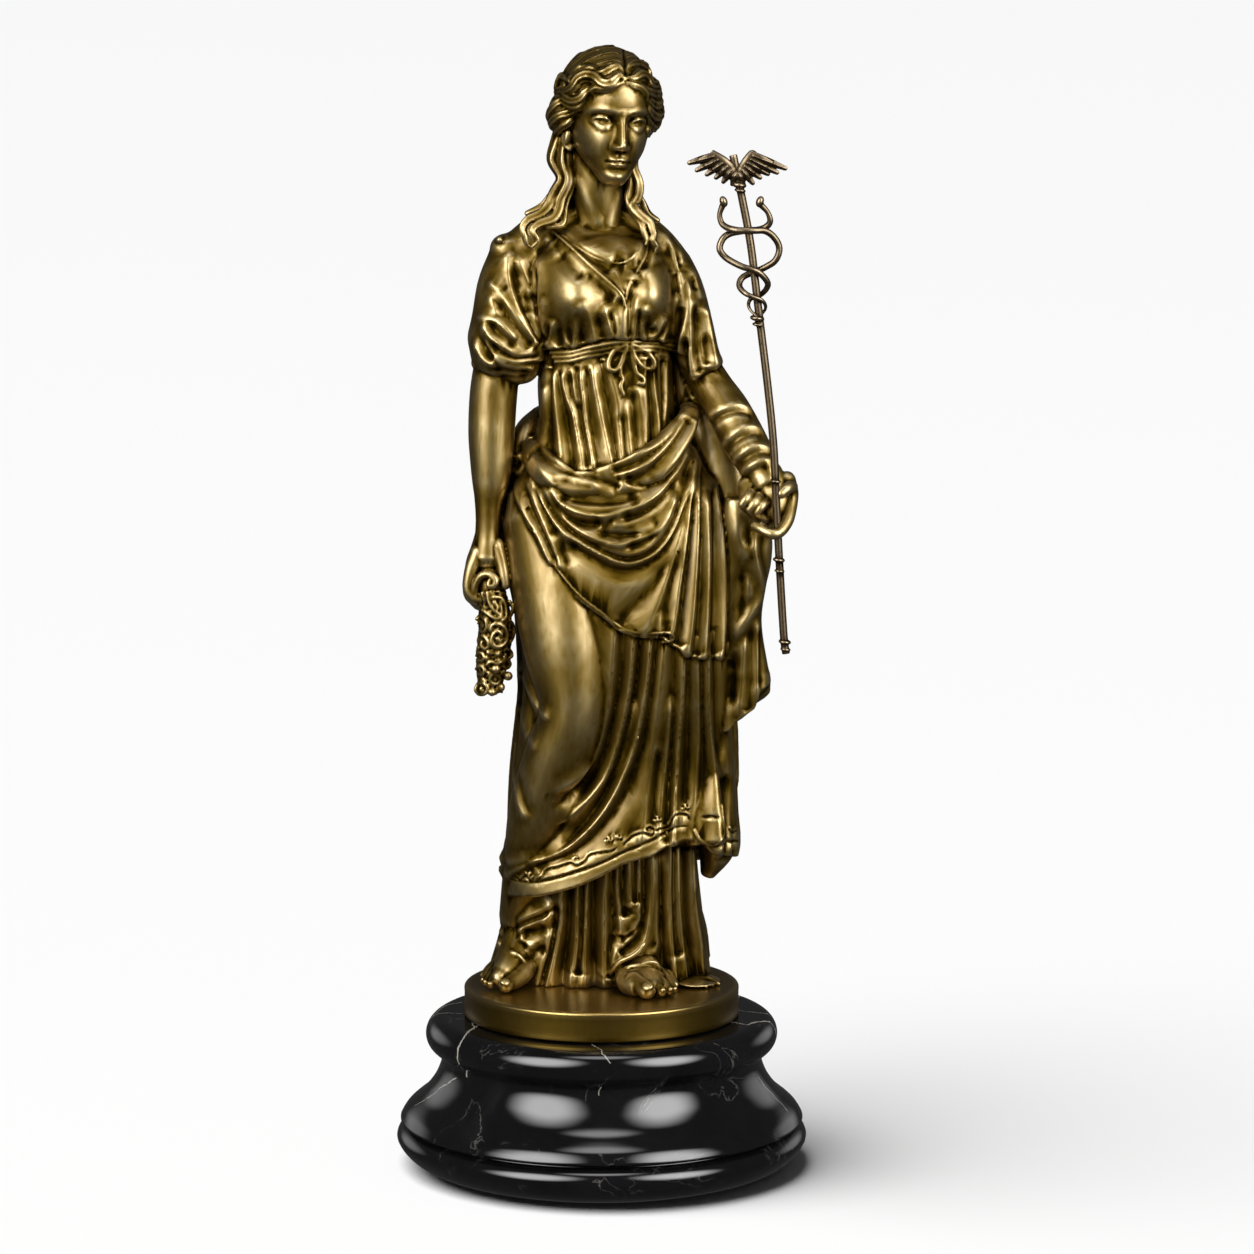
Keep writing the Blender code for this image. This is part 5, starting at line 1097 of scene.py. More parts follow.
def feet():
    # the left foot to the front, the right one behind it and turned out
    forms = [
        tube([12,106,10,7, 13,96,2,8, 16,88.6,-8,9.6, 18.2,84,-17,10.2, 19.4,81.6,-23,9], depth=0.62, around=44),
        tube([10.6,86,-12,4.6, 12.4,82,-21,5.2, 15.6,80.6,-27,4.8], around=28),
        tube([-36,104,6,7.4, -38.6,96,0,7.6, -41,90.4,-6,7.4, -43.4,86.6,-12,6, -45,84.6,-15,4.6], depth=0.8,
             around=40),
        tube([-33.4,92,0,5, -35.6,87,-8,5, -38.6,83.8,-14,4.2, -41,82,-18,3.4], around=28),
    ]
    forms += toes(
        [[14.4,82.4,-24,4.8, 17.8,80.4,-29.6,4, 20.6,78.4,-34,3.9],
         [20.4,83.8,-20,2.8, 24.4,81,-27,2.2, 27.2,77.8,-31.6,2.05],
         [24,84.8,-17,2.6, 28,81.8,-24,2, 30.7,78.3,-28.4,1.8],
         [27.2,85.6,-13,2.4, 30.8,82.2,-20.6,1.7, 32.8,78.8,-25.4,1.45],
         [29.2,86.4,-7,2.3, 31.8,83.8,-11.4,1.7, 33.3,81.2,-15,1.4],
         [-38.6,84.6,-14,3.6, -41.4,82.4,-18.6,3, -43.2,80.7,-21.6,3.3],
         [-45.4,88.4,-9,2.4, -48.2,84.8,-13,1.9, -49.9,80.9,-16.8,1.75],
         [-46.2,89.6,-6,2.2, -49.6,85.8,-10,1.7, -52,81.9,-13,1.55],
         [-47,90.6,-3,2.1, -50.6,87.2,-6.6,1.6, -53.2,83,-9.6,1.45],
         [-47.6,91.4,0,2, -51,88.8,-3,1.5, -53.4,85.4,-5.6,1.35]],
        [20.8,80.8,-36.2,2.6,-14, 27.6,79.2,-33,1.2,-20, 31,79.5,-29.7,1.1,-22, 33,79.8,-26.2,0.9,-24,
         -43.3,82.7,-23.6,2.2,12, -50.2,82,-17.9,1.1,24, -52.2,82.9,-14,1,28, -53.4,83.9,-10.4,0.9,32])
    # the hems of the dress over the insteps
    forms.append(tube([5.8,79.6,-4,1, 6.4,83.6,-11,1.1, 8.8,87.2,-15,1.1, 12.6,89.4,-17,1.1, 17,90.3,-17.6,1,
        20.4,89.8,-17,1, 25,89.6,-14,1, 28,87.6,-10,1, 31,85.8,-5,1], around=14))
    forms.append(tube([3,81,-4,1, 3.8,85.6,-9,1.1, 6,89.4,-12,1.2, 9,92.2,-13.4,1.2, 13,94,-14,1.2, 16.4,96.4,-14,1.1,
        19,100,-13,1], around=14))
    forms.append(tube([-47,92.6,3,1, -45.2,95,-2,1, -41.4,96.2,-6.6,1, -38,95.2,-8.6,1, -35,92.4,-8.4,1,
        -32.2,89.6,-6.4,1, -30.4,87,-4,0.9], around=14))
    # a broad leaf lies on the plinth beside the left foot
    forms.append(blob((43, 83.2, -2), (10.2, 12.4, 1.3), (0, 0, -14), rings=20))
    for k in range(7):
        turn = math.radians(-64 + 22 * k)
        x, y = 43 + 9.4 * math.cos(turn), -2 + 11.6 * math.sin(turn)
        vein = [35, 83.8 + 0.215 * 2, 2, 0.4, (35 + x) / 2, 83.6 + 0.215 * (y + 2) / 2, (y + 2) / 2, 0.6]
        forms.append(tube([*vein, x, 82.9 + 0.215 * y, y, 0.55], around=10, steps=4))
    forms.append(tube([48,82.4,-4,3, 51.4,81.9,-6,1.8, 53.4,81.6,-7,0.6], depth=0.3, around=16))
    return forms


def largest(obj):
    # keeps only the biggest connected shell
    edges = edgesOf(obj.data)
    label = np.arange(len(obj.data.vertices))
    while True:
        low = label.copy()
        np.minimum.at(low, edges[:, 0], label[edges[:, 1]])
        np.minimum.at(low, edges[:, 1], label[edges[:, 0]])
        low = low[low]
        if (low == label).all():
            break
        label = low
    names, counts = np.unique(label, return_counts=True)
    main = names[np.argmax(counts)]

    def drop(bm):
        bm.verts.ensure_lookup_table()
        bmesh.ops.delete(bm, geom=[bm.verts[i] for i in np.nonzero(label != main)[0]], context="VERTS")

    if len(names) > 1:
        changed(obj.data, drop)
    return sorted(counts)[-4:]


def stand(bm):
    # cut off flat at the height where the figure stands
    everything = bm.verts[:] + bm.edges[:] + bm.faces[:]
    bmesh.ops.bisect_plane(bm, geom=everything, dist=1e-4, plane_co=(0, 0, footHeight), plane_no=(0, 0, 1),
                           clear_inner=True)
    rim = [edge for edge in bm.edges if edge.is_boundary]
    bmesh.ops.triangle_fill(bm, edges=rim, use_beauty=True, use_dissolve=False)
    bmesh.ops.recalc_face_normals(bm, faces=bm.faces)


def cutAway(obj, mesh):
    tool = linked(mesh, "tool")
    boolean = obj.modifiers.new("hole", "BOOLEAN")
    boolean.operation = "DIFFERENCE"
    boolean.solver = "EXACT"
    boolean.object = tool
    bake(obj)
    bpy.data.objects.remove(tool)


def smoothed(values, edges, times, number):
    # repeated averaging with the neighbours
    degree = np.bincount(edges.ravel(), minlength=number).astype(float)[:, None]
    out = values.copy()
    for _ in range(times):
        total = np.empty_like(out)
        for axis in range(out.shape[1]):
            total[:, axis] = np.bincount(edges[:, 0], weights=out[edges[:, 1], axis], minlength=number) + np.bincount(
                edges[:, 1], weights=out[edges[:, 0], axis], minlength=number)
        out = 0.5 * out + 0.5 * total / np.maximum(degree, 1)
    return out


def openness(obj, reach, rays):
    # how much of the air round each point is free of other metal, 0 to 1, which the bronze uses as painted shade
    co, no = coords(obj.data), normals(obj.data)
    tree = BVHTree.FromPolygons([tuple(p) for p in co], [tuple(f.vertices) for f in obj.data.polygons])
    golden = math.pi * (3 - math.sqrt(5))
    around = [(math.sqrt((k + 0.5) / rays), golden * k) for k in range(rays)]
    local = np.array([(r * math.cos(a), r * math.sin(a), math.sqrt(max(0.02, 1 - r * r))) for r, a in around])
    helper = np.where(np.abs(no[:, 2:3]) < 0.9, [[0, 0, 1]], [[1, 0, 0]])
    side = np.cross(helper, no)
    side /= np.maximum(np.linalg.norm(side, axis=1), 1e-9)[:, None]
    ahead = np.cross(no, side)
    start = co + no * 0.12
    free = np.zeros(len(co))
    for dx, dy, dz in local:
        way = side * dx + ahead * dy + no * dz
        cast = tree.ray_cast
        for i, (s, w) in enumerate(zip(start.tolist(), way.tolist())):
            hit = cast(s, w, reach)[3]
            free[i] += 1 if hit is None else (hit / reach) ** 0.5
    return free / rays


def writeLayers(mesh, raised, free):
    for name, values in (("raised", raised), ("free", free)):
        layer = mesh.attributes.new(name, "FLOAT", "POINT")
        layer.data.foreach_set("value", values.astype(np.float32))


def patinaAndShade(obj, scales, gains, reach=14, rays=10):
    # polish on what stands out and dark patina in hollows, plus painted shade where other metal crowds round: two
    # attributes the material reads
    mesh = obj.data
    co, no, edges = coords(mesh), normals(mesh), edgesOf(mesh)
    number = len(co)
    length = np.linalg.norm(co[edges[:, 0]] - co[edges[:, 1]], axis=1).mean()
    raised = np.zeros(number)
    flatCo, done = co.copy(), 0
    for scale, gain in zip(scales, gains):
        times = max(1, int((scale / length) ** 2))
        flatCo = smoothed(flatCo, edges, times - done, number)
        done = times
        raised += gain * np.tanh(((co - flatCo) * no).sum(1) / (0.16 * scale))
    free = smoothed(openness(obj, reach, rays)[:, None], edges, 2, number)[:, 0]
    writeLayers(mesh, np.clip(0.5 + 0.5 * raised, 0, 1), np.clip(free, 0, 1))
    print(obj.name, "patina: raised to", np.percentile(raised, 95).round(2), "free to",
          np.percentile(free, 95).round(2))


def finishPiece(obj, name, material, sharp=None):
    obj.name = obj.data.name = name
    obj.data.transform(Matrix.Scale(0.001, 4))
    obj.data.shade_smooth()
    if sharp:
        obj.data.set_sharp_from_angle(angle=math.radians(sharp))
    obj.data.materials.clear()
    obj.data.materials.append(material)
    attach(obj, "root")
    return obj


# shared shader groups
def shaderGroup(name, inputs, outputs):
    group = bpy.data.node_groups.new(name, "ShaderNodeTree")
    for label, kind, value in inputs:
        socket = group.interface.new_socket(name=label, in_out="INPUT", socket_type="NodeSocket" + kind)
        if value is not None:
            socket.default_value = value
    for label in outputs:
        group.interface.new_socket(name=label, in_out="OUTPUT", socket_type="NodeSocketFloat")
    return group, group.nodes.new("NodeGroupInput"), group.nodes.new("NodeGroupOutput")


def add(tree, kind, settings=None, **inputs):
    # a node with its settings, and its inputs given as values or as sockets to link
    node = tree.nodes.new("ShaderNode" + kind)
    for key, value in (settings or {}).items():
        setattr(node, key, value)
    for key, value in inputs.items():
        socket = node.inputs[int(key[1:])] if key[0] == "_" else node.inputs[key.replace("_", " ")]
        if isinstance(value, bpy.types.NodeSocket):
            tree.links.new(value, socket)
        else:
            socket.default_value = value
    return node


def math2(tree, operation, a, b=0.5, clamp=False):
    return add(tree, "Math", {"operation": operation, "use_clamp": clamp}, _0=a, _1=b).outputs[0]


def noiseOf(tree, place, scale, detail, **more):
    return add(tree, "TexNoise", Vector=place, Scale=scale, Detail=detail, **more).outputs


def vector2(tree, operation, a, b):
    node = add(tree, "VectorMath", {"operation": operation}, _0=a, _1=b)
    return node.outputs["Value" if operation in ("DOT_PRODUCT", "DISTANCE") else "Vector"]


def mapped(tree, value, low, high, atLow, atHigh, kind="LINEAR"):
    settings = {"interpolation_type": kind}
    return add(tree, "MapRange", settings, Value=value, _1=low, _2=high, _3=atLow, _4=atHigh).outputs[0]


def rampOf(tree, value, stops):
    node = add(tree, "ValToRGB", Fac=value)
    ramp = node.color_ramp
    stops = places(stops, 4)
    while len(ramp.elements) < len(stops):
        ramp.elements.new(0.5)
    for element, (place, *colour) in zip(ramp.elements, stops):
        element.position = place
        element.color = (*colour, 1)
    return node.outputs[0]


def newMaterial(name):
    material = bpy.data.materials.new(name)
    material.use_nodes = True
    return material, material.node_tree, material.node_tree.nodes["Principled BSDF"]


def castGrainGroup():
    # mottling of the bronze's colour, the fine grain of the cast skin, and faint polishing lines
    group, inside, outside = shaderGroup(
        "cast grain",
        [("Mottle Size", "Float", 60), ("Grain Size", "Float", 900), ("Rubbed", "Float", 0.5)],
        ["Mottle", "Grain", "Lines"],
    )
    place = add(group, "TexCoord").outputs["Object"]
    big = noiseOf(group, place, inside.outputs[0], 5, Roughness=0.62)
    fine = noiseOf(group, place, inside.outputs[1], 3, Roughness=0.6)
    pits = add(group, "TexVoronoi", {"feature": "SMOOTH_F1"}, Vector=place, Scale=1400)
    stretched = add(group, "Mapping", Vector=place, Scale=(1500, 1500, 90)).outputs[0]
    lines = noiseOf(group, stretched, 1, 2)
    weak = math2(group, "MULTIPLY", pits.outputs[0], 0.5)
    grain = math2(group, "ADD", math2(group, "MULTIPLY", fine[0], 0.7), weak)
    rubbed = math2(group, "MULTIPLY", lines[0], inside.outputs[2])
    group.links.new(big[0], outside.inputs[0])
    group.links.new(grain, outside.inputs[1])
    group.links.new(rubbed, outside.inputs[2])
    return group


def veinGroup():
    # adds to So Far one straight run of a white vein, lying in a sheet across the stone
    group, inside, outside = shaderGroup(
        "white vein",
        [("So Far", "Float", 0)]
        + [(label, "Vector", None) for label in ("Place", "Start", "Run", "Across", "Outward")]
        + [("Width", "Float", 0.0006)],
        ["Vein"],
    )
    soFar, place, start, run, across, outward, width = list(inside.outputs)[:7]
    fromStart = vector2(group, "SUBTRACT", place, start)
    aside = vector2(group, "DOT_PRODUCT", fromStart, across)
    mask = mapped(group, math2(group, "DIVIDE", math2(group, "ABSOLUTE", aside), width), 0.3, 1, 1, 0, "SMOOTHSTEP")
    # Run is the direction over the length, so that along goes from 0 to 1
    along = vector2(group, "DOT_PRODUCT", fromStart, run)
    middle = math2(group, "LESS_THAN", math2(group, "ABSOLUTE", math2(group, "SUBTRACT", along, 0.5)), 0.53)
    mask = math2(group, "MULTIPLY", mask, middle)
    # a vein goes no deeper than 20 mm, so that it doesn't come out on the far side
    deep = vector2(group, "DOT_PRODUCT", fromStart, outward)
    mask = math2(group, "MULTIPLY", mask, math2(group, "LESS_THAN", math2(group, "ABSOLUTE", deep), 0.02))
    group.links.new(math2(group, "MAXIMUM", soFar, mask), outside.inputs[0])
    return group


castGrain = castGrainGroup()
whiteVein = veinGroup()

bronzes = {
    # stops as place,red,green,blue from the deepest recess, dark with patina and painted shade, to the polished
    # ridge, roughness at both
    "goddess bronze": {
        "stops": [0,0.003,0.0017,0.0002, 0.26,0.022,0.0125,0.0008, 0.45,0.122,0.071,0.0055, 0.63,0.25,0.16,0.027,
            0.88,0.54,0.405,0.165],
        "deep": 0.58, "ridge": 0.42, "bump": 0.1, "mottle": 55, "wax": 0.9,
    },
    "plinth bronze": {
        "stops": [0,0.006,0.0035,0.0006, 0.3,0.05,0.029,0.003, 0.5,0.205,0.125,0.014, 0.7,0.37,0.24,0.045,
            1,0.68,0.5,0.2],
        "deep": 0.46, "ridge": 0.3, "bump": 0.1, "mottle": 38, "wax": 0.5,
    },
    "staff bronze": {
        "stops": [0,0.006,0.004,0.002, 0.3,0.026,0.017,0.008, 0.5,0.08,0.054,0.027, 0.75,0.18,0.13,0.07,
            1,0.42,0.33,0.2],
        "deep": 0.5, "ridge": 0.34, "bump": 0.12, "mottle": 80, "wax": 0.4,
    },
}


def bronze(name):
    recipe = bronzes[name]
    material, tree, shader = newMaterial(name)
    raised = add(tree, "Attribute", {"attribute_name": "raised"}).outputs["Fac"]
    free = add(tree, "Attribute", {"attribute_name": "free"}).outputs["Fac"]
    grain = add(tree, "Group", {"node_tree": castGrain}, Mottle_Size=recipe["mottle"])
    # painted shade: the colour darkens where the free attribute says other metal crowds round
    unshaded = mapped(tree, free, 0.2, 0.82, 0, 1, "SMOOTHSTEP")
    polishAndShade = math2(tree, "MULTIPLY", raised, math2(tree, "ADD", math2(tree, "MULTIPLY", unshaded, 0.85), 0.15))
    mottle = math2(tree, "MULTIPLY", math2(tree, "SUBTRACT", grain.outputs[0], 0.5), 0.22)
    mottledPolishAndShade = math2(tree, "ADD", polishAndShade, mottle, clamp=True)
    tree.links.new(rampOf(tree, mottledPolishAndShade, recipe["stops"]), shader.inputs["Base Color"])
    rough = mapped(tree, mottledPolishAndShade, 0.1, 0.75, recipe["deep"], recipe["ridge"])
    lines = math2(tree, "MULTIPLY", math2(tree, "SUBTRACT", grain.outputs[2], 0.25), 0.16)
    tree.links.new(math2(tree, "ADD", rough, lines, clamp=True), shader.inputs["Roughness"])
    bump = add(tree, "Bump", Strength=recipe["bump"], Distance=0.0003, Height=grain.outputs[1])
    tree.links.new(bump.outputs[0], shader.inputs["Normal"])
    shader.inputs["Metallic"].default_value = 1
    tree.links.new(mapped(tree, mottledPolishAndShade, 0.34, 0.85, 0, recipe["wax"]), shader.inputs["Coat Weight"])
    shader.inputs["Coat Roughness"].default_value = 0.24
    shader.inputs["Coat IOR"].default_value = 1.75
    return material


marble = {
    # veins as half width in mm, then x,z drawn from the front, and the same from behind
    "veins": [
        (0.5, -79,73, -70,72, -62,73.4), (0.35, -78,67.6, -70,68.4, -63,68),
        (0.55, -58,69, -57,62, -61.6,56.6, -64.6,50, -64,45), (0.3, -56.6,62, -50,66, -46,70),
        (0.3, -4,54, 0,50, 4,45.6), (0.55, 57,64.6, 66,63, 75.6,64, 78.4,57.6),
        (0.25, 60,70, 70,68.4, 77,66), (0.36, -66,38, -73,33.6, -78.6,29, -84,26),
        (0.34, 70.6,38, 76.2,31.4, 80.4,27, 83.6,23),
    ],
    "behind": [
        (0.6, -70,60, -62,50, -66,40, -74,30), (0.6, -20,56, -10,44, -12,34, -4,22),
        (0.5, 30,62, 38,50, 36,40, 44,28, 50,12), (0.5, 66,58, 72,46, 80,30, 86,16),
        (0.35, -44,30, -36,18, -40,8), (0.3, 8,60, 16,54, 26,55),
    ],
}


def veinPlaces(socle):
    # each drawn vein as straight runs that lie in the stone: start, run, across, outward, half width, all in metres
    runs = []
    for eye, name in ((front, "veins"), (behind, "behind")):
        for width, *drawn in marble[name]:
            line = drawnOn(socle, places(drawn), eye) / 1000
            for start, end in zip(line, line[1:]):
                middle = socle.closest_point_on_mesh(Vector((start + end) / 2 * 1000))
                outward = np.array(middle[2])
                step = end - start
                length = np.linalg.norm(step)
                across = np.cross(step / length, outward)
                across /= max(np.linalg.norm(across), 1e-6)
                runs.append((start, step / length**2, across, outward, width / 1000))
    return runs


def blackMarble(veins):
    material, tree, shader = newMaterial("black marble")
    place = add(tree, "TexCoord").outputs["Object"]
    noise = noiseOf(tree, place, 95, 4, Roughness=0.62)
    centred = vector2(tree, "SUBTRACT", noise["Color"], (0.5, 0.5, 0.5))
    shift = add(tree, "VectorMath", {"operation": "SCALE"}, _0=centred, Scale=0.006).outputs[0]
    shifted = vector2(tree, "ADD", place, shift)
    total = None
    for start, run, across, outward, width in veins:
        vein = add(tree, "Group", {"node_tree": whiteVein}, Place=shifted, Start=tuple(start), Run=tuple(run),
                   Across=tuple(across), Outward=tuple(outward), Width=width)
        if total is not None:
            tree.links.new(total, vein.inputs["So Far"])
        total = vein.outputs[0]
    cloud = noiseOf(tree, place, 28, 6, Roughness=0.62, Distortion=0.6)[0]
    wisps = noiseOf(tree, place, 19, 8, Roughness=0.55, Distortion=1.4)[0]
    offMiddle = math2(tree, "ABSOLUTE", math2(tree, "SUBTRACT", wisps, 0.5))
    thread = mapped(tree, offMiddle, 0, 0.006, 0.16, 0, "SMOOTHSTEP")
    patchy = mapped(tree, cloud, 0.5, 0.68, 0, 1)
    white = math2(tree, "ADD", math2(tree, "MULTIPLY", total, 0.55), math2(tree, "MULTIPLY", thread, patchy),
                  clamp=True)
    ground = rampOf(tree, cloud, [0.3,0.0016,0.0016,0.0018, 0.62,0.004,0.004,0.0045, 0.8,0.012,0.012,0.012])
    mixed = add(tree, "Mix", {"data_type": "RGBA"}, _0=white, _6=ground, _7=(0.62, 0.58, 0.5, 1)).outputs[2]
    tree.links.new(mixed, shader.inputs["Base Color"])
    rough = math2(tree, "ADD", math2(tree, "MULTIPLY", cloud, 0.05), math2(tree, "MULTIPLY", white, 0.1))
    tree.links.new(math2(tree, "ADD", rough, 0.05), shader.inputs["Roughness"])
    polish = noiseOf(tree, place, 160, 3)[0]
    bump = add(tree, "Bump", Strength=0.03, Distance=0.0004, Height=polish)
    tree.links.new(bump.outputs[0], shader.inputs["Normal"])
    shader.inputs["Specular IOR Level"].default_value = 0.8
    return material


creases = [
    # half width, depth, then x,z: the dark lines over the border
    (0.75, 0.8, -44,130.6, -38,128.8, -30,128.4, -20,130.4, -10,133.4, 0,137, 10,142, 18,145.2, 26,149, 31,152.2,
     36,153.6, 41.4,154.2),
    (0.75, 0.8, 43.6,157.5, 49,158, 53.4,157), (0.75, 0.8, 55.6,146.6, 63,147),
]


def petal(x, z, r, turn, wide, high, *drawn):
    # drawn points as the share of the length along the petal, and mm to its left
    dx, dz = math.cos(turn), math.sin(turn)
    line = [(x + along * r * dx - aside * dz, z + along * r * dz + aside * dx) for along, aside in drawn]
    return ("soft", wide, high, 0, 0.2, front, line)


def vine():
    # a scrolling vine with small flowers, chased along the skirt's border
    stem = [[-38.6,132, -36.6,130.2, -34,132, -32,129.8, -30,131.6],
            [-31,130, -27,131, -24.4,134.6, -19,136, -14,137.6, -11,136.6, -7.4,138.4, -5,141.4, 0,142.4, 4.6,143.2,
             7.4,145.6],
            [9,145, 11.4,147.6, 14.4,150, 18.4,151.2, 22.4,150.4, 23.4,152.8, 21,153.8, 20.6,152],
            [23.6,152, 27,153.4, 29.8,154.4, 31.6,157.8, 34.4,159.8, 38,159.4, 39.6,156.8],
            [56.6,153.6, 58.6,151.6, 60.4,152.6]]
    strokes = []
    for line in map(places, stem):
        strokes.append(("soft", 1.5, 0.34, 0.1, 0.1, front, line))
        strokes.append(("soft", 0.75, -0.85, 0.08, 0.08, front, [(x, z - 0.9) for x, z in line]))
    # x, z and length of each flower, then the angles of its petals
    flowers = [(-33, 131.8, 1.2, 0.4, 2.2), (-11.6, 139, 1.2, 0.7, 1.7, 2.8), (3.4, 146.6, 1.7, 0.5, 1.6, 2.7),
               (7.4, 147.8, 1.4, 0.4, 1.8), (25, 156, 1.5, 0.3, 1.5, 2.7), (37.4, 161.6, 1.6, 0.2, 1.5, 2.9)]
    for x, z, r, *turns in flowers:
        for turn in turns:
            strokes.append(petal(x, z, r, turn, 1, 0.6, (0.3, 0), (0.9, 0.3), (1.3, 0)))
            strokes.append(petal(x, z, r, turn, 0.6, -0.8, (0.4, -0.9), (1.3, -0.7)))
    return strokes


fades = {  # how far the lines of a group take to rise and to die away, in mm
    "sleeve": (6, 4), "neckline": (3, 5), "bust": (9, 3), "leftSleeve": (6, 2), "midriff": (5, 3), "waist": (3, 3),
    "swags": (6, 6), "apron": (7, 14), "knee": (12, 10), "longSweeps": (6, 16), "underPleats": (4, 2),
    "ankleFolds": (4, 4), "windings": (3, 3), "hanging": (8, 10),
}


def folded(name, meshes, times, growth=1.2):
    # one layer: run together, softened, and drawn into its folds
    cloth = fuse(name, meshes, clay["grain"] * 1.2 * (1))
    soften(cloth, times)
    if name == "chest":
        swell(cloth, bosoms)
    drape(cloth, [(height * growth, *fades[group], places(line))
                  for (layer, group), rows in folds.items() if layer == name for height, *line in rows])
    mesh = cloth.data.copy()
    bpy.data.objects.remove(cloth)
    return mesh


cords = [
    # radius, then x,z: the girdle's three strands, the bow, the turned edges of neck, hem and apron
    (1, -20,361.4, -14,361.6, -7,363.3, 1,365, 8,366.3, 16,366.4, 24,366.2, 32,365),
    (1, -21,363.4, -14,363.6, -7,365.3, 1,367, 8,368.2, 16,368.3, 24,368, 32,366.8),
    (0.95, -22,365.4, -14,365.5, -7,367.2, 1,368.9, 8,370, 16,370.1, 24,369.8, 32,368.6),
    (1.25, 11,369, 6,366.4, 3.4,361.6, 3.6,358.2, 6.2,357.6, 8.6,360, 10,364, 11.4,368.4),
    (1.25, 13.4,369, 19,366.6, 23,362.4, 23.2,359.2, 20.6,358.2, 17.4,360, 14.8,364, 13.2,368.4),
    (1, 11.4,367.6, 9.4,362, 8.4,357, 9.6,353.6, 8.6,350.6, 9.8,347),
    (1, 13,367.6, 14.4,361, 15.8,356.4, 18.8,354, 18.6,351.6, 16.6,352),
    (0.55, -16.6,417, -10,411.6, -4,407.8, 1,405.8, 6,404.6, 11,405.4, 15.4,409, 19,415),
    (0.65, -21,418.6, -15,413.4, -8,407, -2,401.4, 4,396, 9,391, 10.6,386),
    (0.6, 20.6,416, 19.6,408.4, 16,401.4, 12.6,395.4, 10.8,388),
    (0.8, 41.6,151.8, 43.6,148, 46.6,145.8, 50.2,145.2, 53.2,147, 54.6,150.6, 54.2,156, 53.6,163),
    (0.6, -30,286.6, -20,270.2, -10,258, 0,250.2, 8,243.6, 15,241, 22,240.6, 27,240.8),
    (0.7, 24,240.8, 28,240.9, 31.2,240.4, 32.2,238.8, 30.8,237.2, 27.4,236.6),
]


pleatsBehind = [
    # half width, height, fades in and out, how many, and the two lines they are spread between
    (5, 2.4, 0.15, 0.02, 11, [-38,298, -40,240, -42,180, -44,128], [50,298, 56,240, 60,180, 60,134]),
    (3.4, 1.2, 0.15, 0.02, 10, [-34,280, -36,230, -38,180, -40,128], [46,280, 52,230, 56,180, 56,134]),
    (6, 2.4, 0.1, 0.1, 4, [-32,322, 0,305, 20,296, 50,292], [-28,338, 0,334, 20,331, 46,322]),
    (3.4, 1.3, 0.2, 0.06, 9, [-30,410, -20,392, -12,378, -8,367], [28,408, 21,392, 14,378, 10,367]),
    (3, 1.2, 0.1, 0.1, 9, [-24,362, -22,350, -20,340], [26,362, 24,350, 23,340]),
    (4, 1.8, 0.2, 0.05, 8, [-26,330, -30,290, -34,262], [40,324, 46,290, 50,262]),
    (3, 2, 0.05, 0, 15, [-38,122, -44,100, -46,84], [40,122, 46,100, 48,84]),
]


def backFolds():
    girdle = ("bead", 3, 1.4, 0, 0, behind, places([-30,364.5, 0,366, 31,366]))
    strokes = [girdle]
    for wide, high, fadeIn, fadeOut, number, first, last in pleatsBehind:
        strokes += fan(("fold", wide, high, fadeIn, fadeOut, behind), first, last, number)
    return strokes


def sideFolds():
    strokes = []
    for first, flank in ((2, (-38, -38, -41, -43)), (1, (44, 57, 60, 60))):
        for k in range(first, 6):
            # lines placed straight in (x, z, y), down the flank of the skirt
            y = -16 + 10.5 * k
            line = list(zip(flank, (300, 240, 180, 134), (y * 0.8, y, y, y)))
            strokes.append(("fold", 3.6, -1.9, 0.1, 0.02, front, line))
    return strokes


def carve(obj, times, amount, most):
    # deepens every hollow and lifts every crest a little
    mesh = obj.data
    co, no = coords(mesh), normals(mesh)
    soft = smoothed(co, edgesOf(mesh), times, len(co))
    step = np.clip(((co - soft) * no).sum(1) * amount, -most, most)
    setCoords(mesh, co + no * step[:, None])


def makeCloth():
    mass = fuse("mass", chest()[1:], clay["massGrain"])
    soften(mass, 7)
    smooth = mass.data.copy()
    bpy.data.objects.remove(mass)
    parts = layers()
    cloths = [folded("chest", [smooth] + chest()[:1], 1)]
    softening = {"torso": 1, "band": 2, "apron": 1, "skirt": 4, "under": 1, "forearm": 1, "hanging": 3}
    for name, times in softening.items():
        cloths.append(folded(name, parts[name], times))
    body = fuse("body", cloths + rightArm(), clay["grain"] * (1))
    press(body, backFolds() + sideFolds())
    soften(body, 3)
    press(body, [("soft", w * 1.25, -d * 1.15, 0.25, 0.25, front, places(line)) for w, d, *line in creases])
    press(body, [("soft", 2.2, -1.2, 0.1, 0.1, front, places([25,238.6, 30.4,238.8]))])
    carve(body, 16, 0.5, 0.8)
    press(body, vine())
    knot = tube([10.6,368.4,-21.4,1.6, 13.8,368.4,-21.4,1.6])
    trim = fuse("trim", [laid(body, places(line), radius) for radius, *line in cords] + [knot], clay["trimGrain"])
    body = joined("cloth", [body, trim])
    print("cloth drawn")
    return body


def joined(name, objects):
    bm = bmesh.new()
    for obj in objects:
        bm.from_mesh(obj.data)
        bpy.data.objects.remove(obj)
    return linked(meshOf(bm, name), name)


def makeHead():
    bust = fuse("bust", headAndHair(), head["grain"] * (1))
    soften(bust, 1, 0.35)
    press(bust, combed() + [("soft", w, h, 0.2, 0.2, front, places(line)) for w, h, *line in neckLines])
    print("head drawn")
    return bust


def makeSmall():
    small = fuse("small", leftHand() + rightHand() + garland() + feet(), clay["smallGrain"] * (1))
    soften(small, 1, 0.4)
    # the fist is bored for the staff with a little play
    bore = [(x, z, y, sizes["staffRadius"] + sizes["play"]) for x, z, y in staffPath if 266 < z < 335]
    cutAway(small, tube(bore, around=24, caps=(0.2, 0.2)))
    return small


